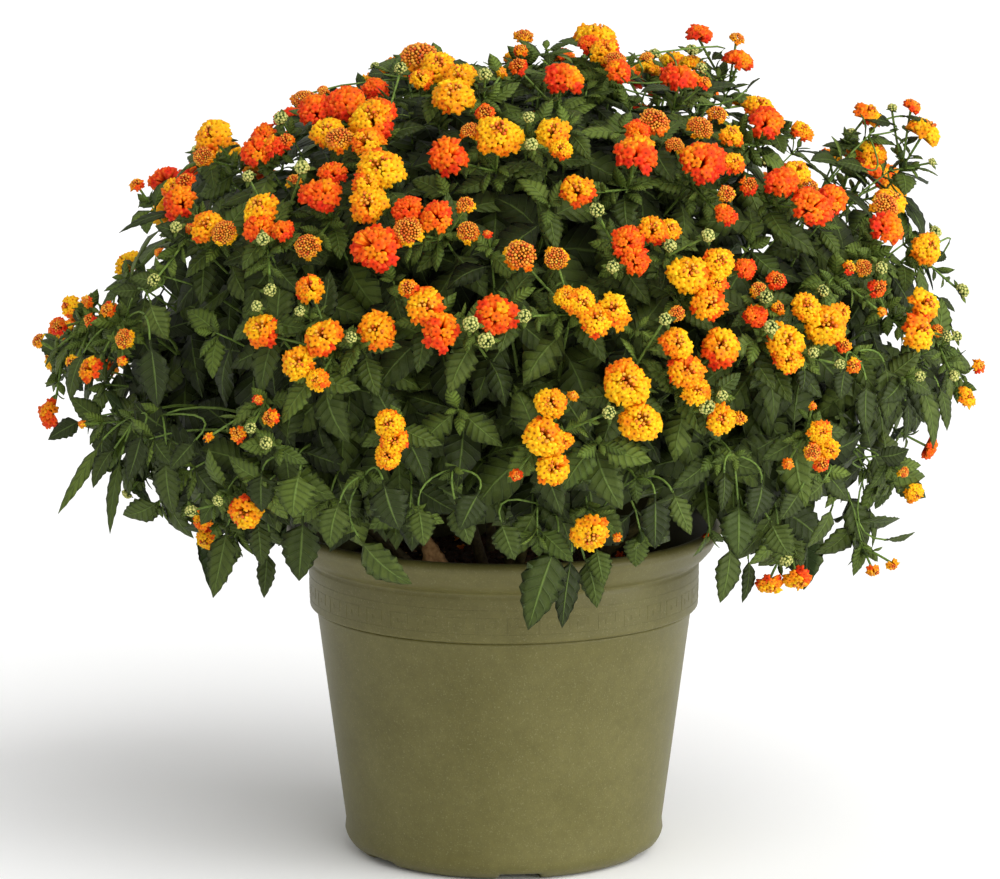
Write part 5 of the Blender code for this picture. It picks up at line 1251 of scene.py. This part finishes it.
# Every leaf is a grid: rows along the curled midrib, and a ring of eight or four points round the thin blade.
# A point is midrib + side * v * half + normal * half * (fold |v| - droop v^2 + ripple + quilt) + thickness.
def makeLeaves(name, leaves, rows, ring, finish, young):
    across, layer = (np.array(part) for part in bladeForm[ring])
    way, face, base = (np.array([leaf[key] for leaf in leaves]) for key in ("way", "face", "base"))
    sizes = np.array([[leaf[key] for leaf in leaves] for key in ("length", "width", "curl", "fold", "seed")])
    length, width, curl, fold, seed = sizes[..., None]
    curl = np.maximum(curl, 0.02)
    stalk = leafForm["stalk"]
    s = np.concatenate([[0.0, stalk * 0.85], np.linspace(stalk * 1.05, 1.0, rows - 2)])
    share = np.maximum(bladeHalf(s, stalk), np.where(s < stalk, 0.07, 0.012))
    half = width / 2 * share
    side = np.cross(way, face)
    sweep = 0.05 * np.sin(seed * 40) * np.sin(math.pi * s)
    ahead, sink = np.sin(curl * s) / curl, (1 - np.cos(curl * s)) / curl
    mid = way[:, None] * ahead[..., None] - face[:, None] * sink[..., None] + side[:, None] * sweep[..., None]
    mid = (base[:, None] + length[..., None] * mid)[:, :, None]
    normal = face[:, None] * np.cos(curl * s)[..., None] + way[:, None] * np.sin(curl * s)[..., None]
    cut = bladeForm["tooth"] * ((np.arange(rows) % 2 == 1) & (s > stalk) & (s < 0.97))
    v = across * (1 - cut[:, None] * (np.abs(across) == 1))
    ripple = bladeForm["ripple"] * np.sin(s[:, None] * 15 + seed[..., None] * 50 + across * 2.2) * v**2
    slant = np.cos((s[:, None] - 0.16 * np.abs(across)) * 2 * math.pi * 8)
    quilt = bladeForm["quilt"] * slant * (np.abs(across) == 0.5)
    droop = (0.10 + 0.14 * seed[..., None]) * v**2
    lift = (fold[..., None] * np.abs(v) - droop + ripple + quilt) * half[..., None]
    thin = bladeForm["thick"] * np.where(s < stalk, 1.7, 0.35 + 0.65 * np.minimum(share / 0.3, 1))
    lift = (lift + layer * thin[:, None])[..., None]
    spots = mid + side[:, None, None] * (half[..., None] * v)[..., None] + normal[:, :, None] * lift
    shape = spots.shape[:3]
    values = {
        "bladeAcross": np.broadcast_to(across, shape),
        "bladeAlong": np.broadcast_to(s[:, None], shape),
        "bladeUnder": np.broadcast_to(layer < 0, shape),
        "bladeTint": np.broadcast_to(seed[..., None], shape),
        "bladeYoung": np.broadcast_to(np.asarray(young)[:, None, None], shape),
    }
    faces = [make(len(leaves), rows, len(across))[:, ::-1] for make in (ringQuads, ringCaps)]
    piece = putPiece(name, spots.reshape(-1, 3), faces, finish, values)
    return piece


floretForm = {
    "size": 0.0043,  # radius of an open floret on a full head
    "lobes": 5,
    "crowd": {gold: 1.75, amber: 1.65, flame: 1.45, opening: 1.75},  # florets for (head radius / size)^2 = 1
    "wide": 98,  # degrees from a head's top to its outermost florets
    "tall": 0.58,  # a head's height over its radius
    "closed": {gold: 0.05, amber: 0.04, flame: 0.0, opening: 0.55},  # share still in bud, in the middle
    "bead": 0.33,  # radius of an unopened floret over that of an open one
    # a floret's age in the middle of the head, and how much older the outermost are
    "age": {gold: (0.00, 0.36), amber: (0.08, 0.72), flame: (0.52, 0.50), opening: (0.00, 0.30)},
    "stray": 0.12,  # how far a floret's age strays from its neighbours'
}


# One floret, in units of its radius: rounded lobes that bulge round a sunken throat, over a cone to its root.
# Each lobe has its notch (0.68, low), two shoulders and a tip (1.05), and a high point at 0.46 behind them.
def floretShape(lobes):
    count = lobes * 4
    a = np.arange(count) * 2 * math.pi / count
    swing = np.array([0.68, 0.94, 1.05, 0.94])[np.arange(count) % 4]
    rise = np.array([-0.13, 0.0, 0.02, 0.0])[np.arange(count) % 4]
    rim = np.stack([np.cos(a) * swing, np.sin(a) * swing, rise], -1)
    b = (np.arange(lobes) + 0.5) * 2 * math.pi / lobes
    throat = np.stack([np.cos(b) * 0.46, np.sin(b) * 0.46, np.full(lobes, 0.06)], -1)
    spots = np.vstack([rim, throat, [[0, 0, -0.22], [0, 0, -1.0]]])
    i = np.arange(count)
    ring = count + i // 4
    eye, end = count + lobes, count + lobes + 1
    j = np.arange(lobes)
    faces = np.concatenate([
        np.stack([i, (i + 1) % count, ring], -1),
        np.stack([count + (j + 1) % lobes, count + j, (4 * j + 4) % count], -1),
        np.stack([count + j, count + (j + 1) % lobes, 0 * j + eye], -1),
        np.stack([(i + 1) % count, i, 0 * i + end], -1),
    ])
    reach = np.concatenate([np.tile([0.62, 0.94, 1.0, 0.94], lobes), np.full(lobes, 0.62), [0.0, 0.35]])
    return spots, faces, reach


# Places spread evenly over a dome: the k-th lies where cos = 1 - (1 - cos wide) (k + 1/2) / count, and k
# golden angles round.
def domePlaces(count, wide):
    k = np.arange(count) + 0.5
    up = 1 - (1 - math.cos(math.radians(wide))) * k / count
    turn = k * math.radians(137.5)
    flat = np.sqrt(np.maximum(1 - up**2, 0))
    return np.stack([flat * np.cos(turn), flat * np.sin(turn), up], -1)


# Where each floret of a set of heads stands, as rows of place, direction and root, with its age and its
# size, and the same for the beads still closed in the middle. Heads in bud have none here.
def floretPlaces(heads, draw):
    rows, ages, sizes, beads = [], [], [], [np.zeros((0, 7))]
    for head in heads:
        if head["age"] == bud:
            continue
        r, axis = head["r"], head["axis"]
        size = floretForm["size"] * np.clip(r / 0.0145, 0.62, 1.0) * draw.uniform(0.94, 1.06)
        count = max(7, round(floretForm["crowd"][head["age"]] * (r / size) ** 2))
        turned = np.stack([*squareTo(axis), axis])
        closed = max(floretForm["closed"][head["age"]], 0.22 if r < 0.008 else 0.0)
        first, drift = floretForm["age"][head["age"]]
        flat, tall = r - size * 0.60, r * floretForm["tall"] - size * 0.10
        dome = domePlaces(count, floretForm["wide"]) @ turnAbout(draw.uniform(0, 6.28))
        rank = (np.arange(count) + 0.5) / count
        # Two and three waves round the head keep its outline from a true circle.
        around, uneven = np.arctan2(dome[:, 1], dome[:, 0])[:, None], 1
        for waveCount, high in ((2, 0.07), (3, 0.05)):
            uneven = uneven + high * np.cos(waveCount * around + draw.uniform(0, 6.28))
        place = dome * np.array([flat, flat, tall]) * uneven * (1 + draw.normal(0, 0.04, (count, 1)))
        way = dome * np.array([0.80, 0.80, 1.0]) + np.array([0, 0, 0.22])
        way = unitRows(way + draw.normal(0, 0.17, dome.shape))
        root = np.broadcast_to(head["at"] - axis * r * 0.30, (count, 3))
        take = rank > closed
        # One side of a head is often further on than the other.
        side = dome @ np.append(draw.normal(0, 0.16, 2), 0)
        age = np.clip(first + drift * rank**1.3 + side + draw.normal(0, floretForm["stray"], count), 0, 1)
        rows.append(np.concatenate([head["at"] + place @ turned, way @ turned, root], -1)[take])
        ages.append(age[take])
        sizes.append((size * draw.uniform(0.86, 1.12, count))[take])
        if closed:
            bead = size * floretForm["bead"]
            edge = math.degrees(math.acos(1 - (1 - math.cos(math.radians(floretForm["wide"]))) * closed))
            dome = domePlaces(max(5, round(0.95 * closed * count * (size / bead) ** 2)), edge + 5)
            place = dome * np.array([flat, flat, tall]) * (1.02 + draw.normal(0, 0.03, (len(dome), 1)))
            part = [head["at"] + place @ turned, unitRows(dome + draw.normal(0, 0.1, dome.shape)) @ turned]
            beads.append(np.concatenate(part + [bead * draw.uniform(0.8, 1.2, (len(dome), 1))], -1))
    return np.concatenate(rows), np.concatenate(ages), np.concatenate(sizes), np.concatenate(beads)


# The matrix that turns rows about the third axis: (cos, sin), (-sin, cos).
def turnAbout(angle):
    c, d = math.cos(angle), math.sin(angle)
    return np.array([[c, d, 0], [-d, c, 0], [0, 0, 1]])


# Sets one floret shape at every place: place + size * (first x + second y + way z), with its last point at
# the root.
def makeFlorets(name, rows, ages, sizes, finish, draw):
    shape, faces, reach = floretShape(floretForm["lobes"])
    count = len(rows)
    side, other = squareTo(rows[:, 3:6])
    turn = draw.random((count, 1)) * 6.28
    first = side * np.cos(turn) + other * np.sin(turn)
    second = other * np.cos(turn) - side * np.sin(turn)
    local = shape * (1 + draw.normal(0, 0.06, (count, len(shape), 1))) * sizes[:, None, None]
    local[..., 2] += draw.normal(0, 0.05, local.shape[:2]) * sizes[:, None]
    spots = rows[:, None, :3] + first[:, None] * local[..., :1] + second[:, None] * local[..., 1:2]
    spots = spots + rows[:, None, 3:6] * local[..., 2:]
    spots[:, -1] = rows[:, 6:9]
    every = (faces + np.arange(count)[:, None, None] * len(shape)).reshape(-1, 3)
    values = {
        "floretAge": np.broadcast_to(ages[:, None], spots.shape[:2]),
        "floretReach": np.broadcast_to(reach, spots.shape[:2]),
    }
    piece = putPiece(name, spots.reshape(-1, 3), [every], finish, values)
    return piece


# Unopened florets as beads (rows of place, direction and size): a foot, two rings of five and a tip, each
# square to its own direction.
def makeBuds(name, beads, warm, finish, draw):
    at, way, size = beads[:, None, :3], beads[:, None, 3:6], beads[:, 6:, None]
    side, other = squareTo(way)
    a = np.arange(5)[:, None] * 2 * math.pi / 5
    ring = side * np.cos(a) + other * np.sin(a)
    low, mid = at + (ring * 0.92 - way * 0.15) * size, at + (ring * 0.68 + way * 0.62) * size
    foot, tip = at - way * size * 2.4, at + way * size * 0.95
    spots = np.concatenate([foot, low, mid, tip], 1)
    i, j = np.arange(5), (np.arange(5) + 1) % 5
    faces = np.concatenate([
        np.stack([0 * i, 1 + j, 1 + i], -1),
        np.stack([1 + i, 1 + j, 6 + j], -1),
        np.stack([1 + i, 6 + j, 6 + i], -1),
        np.stack([6 + i, 6 + j, 0 * i + 11], -1),
    ])
    every = (faces + np.arange(len(beads))[:, None, None] * 12).reshape(-1, 3)
    values = {
        "floretReach": np.broadcast_to([1.0] + [0.95] * 5 + [0.35] * 5 + [0.0], (len(beads), 12)),
        "floretTint": np.broadcast_to(draw.random(len(beads))[:, None], (len(beads), 12)),
        "floretAge": np.broadcast_to(warm[:, None], (len(beads), 12)),
    }
    piece = putPiece(name, spots.reshape(-1, 3), [every], finish, values)
    return piece


budForm = {
    "beads": 38,  # on a head of 6 mm radius, and the fewest on any
    "fewest": 16,
    "wide": 118,  # degrees from a head's top to its lowest beads
    "ball": (0.66, 0.66, 0.52),  # half axes of the ball they sit on, over the head's radius
    "bead": 1.75,  # a bead's radius over head radius / root of their number
}


# The heads of a group that are all in bud: uneven beads over most of a low ball.
def greenBuds(heads, draw):
    beads = [np.zeros((0, 7))]
    for head in heads:
        if head["age"] == bud:
            count = max(budForm["fewest"], int(budForm["beads"] * (head["r"] / 0.006)))
            dome = unitRows(domePlaces(count, budForm["wide"]) + draw.normal(0, 0.07, (count, 3)))
            turned = np.stack([*squareTo(head["axis"]), head["axis"]])
            ball = head["r"] * np.array(budForm["ball"]) * draw.uniform(0.85, 1.05)
            size = budForm["bead"] * head["r"] / math.sqrt(count) * draw.uniform(0.65, 1.15, (count, 1))
            beads.append(np.concatenate([head["at"] + (dome * ball) @ turned, dome @ turned, size], -1))
    return np.concatenate(beads)


plant = growPlant()
heads = [head for bunch in plant["bunches"] for head in bunch] + plant["singles"]
potFinish, soilFinish, leafFinish = makePotFinish(), makeSoilFinish(), makeLeafFinish()
petalFinish, budFinish = makePetalFinish(), makeBudFinish()
stemFinish, dryFinish = makeStemFinish(), makeDryFinish()
dice = np.random.default_rng(11)

makePot(potFinish)
makeKeyBand(potFinish)
makeSoil(soilFinish)
makeCrumbs("soilCrumbs", soilFinish, *soilForm["crumbs"])
makeCrumbs("barkChips", dryFinish, *soilForm["bark"])
print("pot and soil made,", triangles["added"], "triangles")

tubeForm = {
    "points": 12,  # along a stem, six sides round; stalks have five
    "taper": (1.0, 1.0, 1.0, 0.9, 0.9, 0.9, 0.8, 0.75, 0.70, 0.62, 0.52, 0.40),  # slim towards the tip
    "stalk": 0.0008,  # radius of a head's stalk, and how it swells under the head, over the head's radius
    "swell": 0.02,
    "leafStalk": 0.0007,
}

every = plant["leaves"] + twigLeaves(plant, heads, random.Random(19))
for k, stem in enumerate(plant["stems"]):
    node, number = "leafy_stem_%02d" % (k + 1), "_%02d" % (k + 1)
    shoots = [shoot for shoot in plant["shoots"] if shoot["group"] == k]
    own = [head for head in heads if head["group"] == k]
    points, woods = tubeForm["points"], [stem] + shoots
    paths = np.array([resample(item["path"], points) for item in woods])
    thick = np.array([np.linspace(item["thick"][0], item["thick"][-1], points) for item in woods])
    thick[1:] *= np.array(tubeForm["taper"])
    age = np.array([np.linspace(1.0, 0.5, points)] + [np.linspace(0.7, 0.0, points) ** 1.5] * len(shoots))
    pieces = [makeTubes("stemWood" + number, paths, thick, 6, age, stemFinish)]
    stalks = np.array([stalkPath(head) for head in own])
    thin, swell = tubeForm["stalk"], tubeForm["swell"]
    slim = np.array([np.linspace(thin, thin + swell * head["r"], 6) for head in own])
    pieces.append(makeTubes("flowerStalks" + number, stalks, slim, 5, 0 * slim, stemFinish))
    hung = [leaf for leaf in plant["leaves"] if leaf["group"] == k and leaf["kind"] in ("hanging", "edge")]
    if hung:
        ends = np.array([leafStalkPath(leaf) for leaf in hung])
        slim = np.full(ends.shape[:2], tubeForm["leafStalk"])
        pieces.append(makeTubes("leafStalks" + number, ends, slim, 5, 0 * slim, stemFinish))
    leaves = [leaf for leaf in every if leaf["group"] == k]
    middle = np.array([leafMid(leaf, 0.6)[0] for leaf in leaves])
    half = np.array([crownHalf(spot[2]) for spot in middle])
    depth = np.linalg.norm((middle - np.array(crown["centre"])) / half, axis=1)
    kind = np.array([leaf["kind"] for leaf in leaves])
    hanging = (kind == "hanging") | (kind == "edge")
    small = kind == "young"
    youth = np.array([leaf["pair"] == 0 for leaf in leaves]) & ~hanging & (kind != "old")
    youth = youth * dice.uniform(0.0, 0.6, len(leaves)) + 0.3 * (dice.random(len(leaves)) > 0.88)
    youth = np.where(small, dice.uniform(0.4, 1.0, len(leaves)), youth)
    near = ((depth > bladeForm["near"]) | hanging) & ~small & (kind != "old")
    for name, chosen, rows, ring in (
        ("outerLeaves", near, "fine", "full"),
        ("youngLeaves", small, "small", "plain"),
        ("innerLeaves", ~near & ~small, "coarse", "plain"),
    ):
        some = [leaf for leaf, take in zip(leaves, chosen) if take]
        if some:
            pieces.append(makeLeaves(name + number, some, bladeForm[rows], ring, leafFinish, youth[chosen]))
    for piece in pieces:
        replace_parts(piece, node)
print("stems and", len(every), "leaves made,", triangles["added"], "triangles")

groups = []
for k, bunch in enumerate(plant["bunches"]):
    groups.append(("bloomBunch_%02d" % (k + 1), bunch, "bloom_bunch_%02d" % (k + 1)))
for k in range(len(plant["stems"])):
    lone = [head for head in plant["singles"] if head["group"] == k]
    groups.append(("loneHeads_%02d" % (k + 1), lone, "leafy_stem_%02d" % (k + 1)))
total, budCount = 0, 0
for name, own, node in groups:
    green = greenBuds(own, dice)
    ripe = green[:0]
    if any(head["age"] != bud for head in own):
        rows, ages, sizes, ripe = floretPlaces(own, dice)
        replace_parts(makeFlorets(name, rows, ages, sizes, petalFinish, dice), node)
        total += len(rows)
    beads = np.concatenate([green, ripe])
    if len(beads):
        warm = np.repeat([0.0, 1.0], [len(green), len(ripe)])
        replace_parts(makeBuds(name + "_buds", beads, warm, budFinish, dice), node)
        budCount += len(beads)
print("heads made:", total, "florets and", budCount, "buds,", triangles["added"], "triangles")

# Florets that have dropped on the soil, one caught on the pot's lip, and a curled dry leaf by the front wall.
litterForm = {
    "ring": (0.06, 0.065),  # the florets lie from this radius outwards, over this width
    "size": 0.0036,
    "onLip": (0.1390, -0.0545, 0.2338),
    "leafAt": (-0.0400, -0.1160, 0.2025),
    "leafSize": (0.050, 0.020, 1.1),  # length, width and curl
}
turned, share = dice.random((soilForm["fallen"], 2)).T
turned, away = turned * 2 * math.pi, litterForm["ring"][0] + litterForm["ring"][1] * share
litter = np.zeros((soilForm["fallen"] + 1, 9))
litter[:-1, :3] = np.stack([np.cos(turned) * away, np.sin(turned) * away, 0 * away + soilTop + 0.0015], -1)
litter[-1, :3] = litterForm["onLip"]
litter[:, 3:6] = unitRows(dice.normal(0, 0.5, (len(litter), 3)) + np.array([0, 0, 1.0]))
litter[:, 6:9] = litter[:, :3] - litter[:, 3:6] * 0.004
ages, sizes = dice.uniform(0.3, 1.0, len(litter)), np.full(len(litter), litterForm["size"])
makeFlorets("fallenFlorets", litter, ages, sizes, petalFinish, dice)
spot = np.array(litterForm["leafAt"])
upright, towards = np.array([-0.06, -0.14, 1.0]), np.array([0.5, -0.85, 0.0])
dryLeaf = leafOn(spot, upright, towards, *litterForm["leafSize"], {"group": 0}, "fallen", random.Random(5))
makeLeaves("driedLeaf", [dryLeaf], bladeForm["fine"], "full", dryFinish, np.zeros(1))
print("litter made, most triangles in a piece", triangles["most"], "and in all", triangles["added"])

studio = {
    "floor": "#fdfdfc",
    "sun": 2.9,
    "sunSize": 72,  # degrees across, for a soft edge to the shadow
    "toSun": (0.90, -0.95, 0.95),
    "sky": 0.64,
    "side": 22,  # watts of a low soft box at the right, its size, its place and the way to it from the pot
    "sideSize": 1.2,
    "sideAt": (2.3, -0.9, 0.30),
    "toBox": (2.3, -0.9, 0.10),
}

floorFinish = bpy.data.materials.new("studioPaper")
floorFinish.use_nodes = True
paper = floorFinish.node_tree.nodes["Principled BSDF"]
paper.inputs["Base Color"].default_value = colourOf(studio["floor"])
paper.inputs["Roughness"].default_value = 0.9
floorMesh = bpy.data.meshes.new("studioFloor")
floorMesh.from_pydata([(-12, -12, 0), (12, -12, 0), (12, 12, 0), (-12, 12, 0)], [], [(0, 1, 2, 3)])
floorMesh.materials.append(floorFinish)
studioFloor = bpy.data.objects.new("studioFloor", floorMesh)
bpy.context.scene.collection.objects.link(studioFloor)

sunData = bpy.data.lights.new("softKey", "SUN")
sunData.energy, sunData.angle = studio["sun"], math.radians(studio["sunSize"])
boxData = bpy.data.lights.new("sideBox", "AREA")
boxData.energy, boxData.size = studio["side"], studio["sideSize"]
lights = (sunData, (0, 0, 0), studio["toSun"]), (boxData, studio["sideAt"], studio["toBox"])
for data, place, towards in lights:
    light = bpy.data.objects.new(data.name, data)
    light.location = place
    light.rotation_euler = Vector(towards).to_track_quat("Z", "Y").to_euler()
    bpy.context.scene.collection.objects.link(light)

sky = bpy.data.worlds.new("studioSky")
sky.use_nodes = True
sky.node_tree.nodes["Background"].inputs[0].default_value = (1, 1, 1, 1)
sky.node_tree.nodes["Background"].inputs[1].default_value = studio["sky"]
bpy.context.scene.world = sky
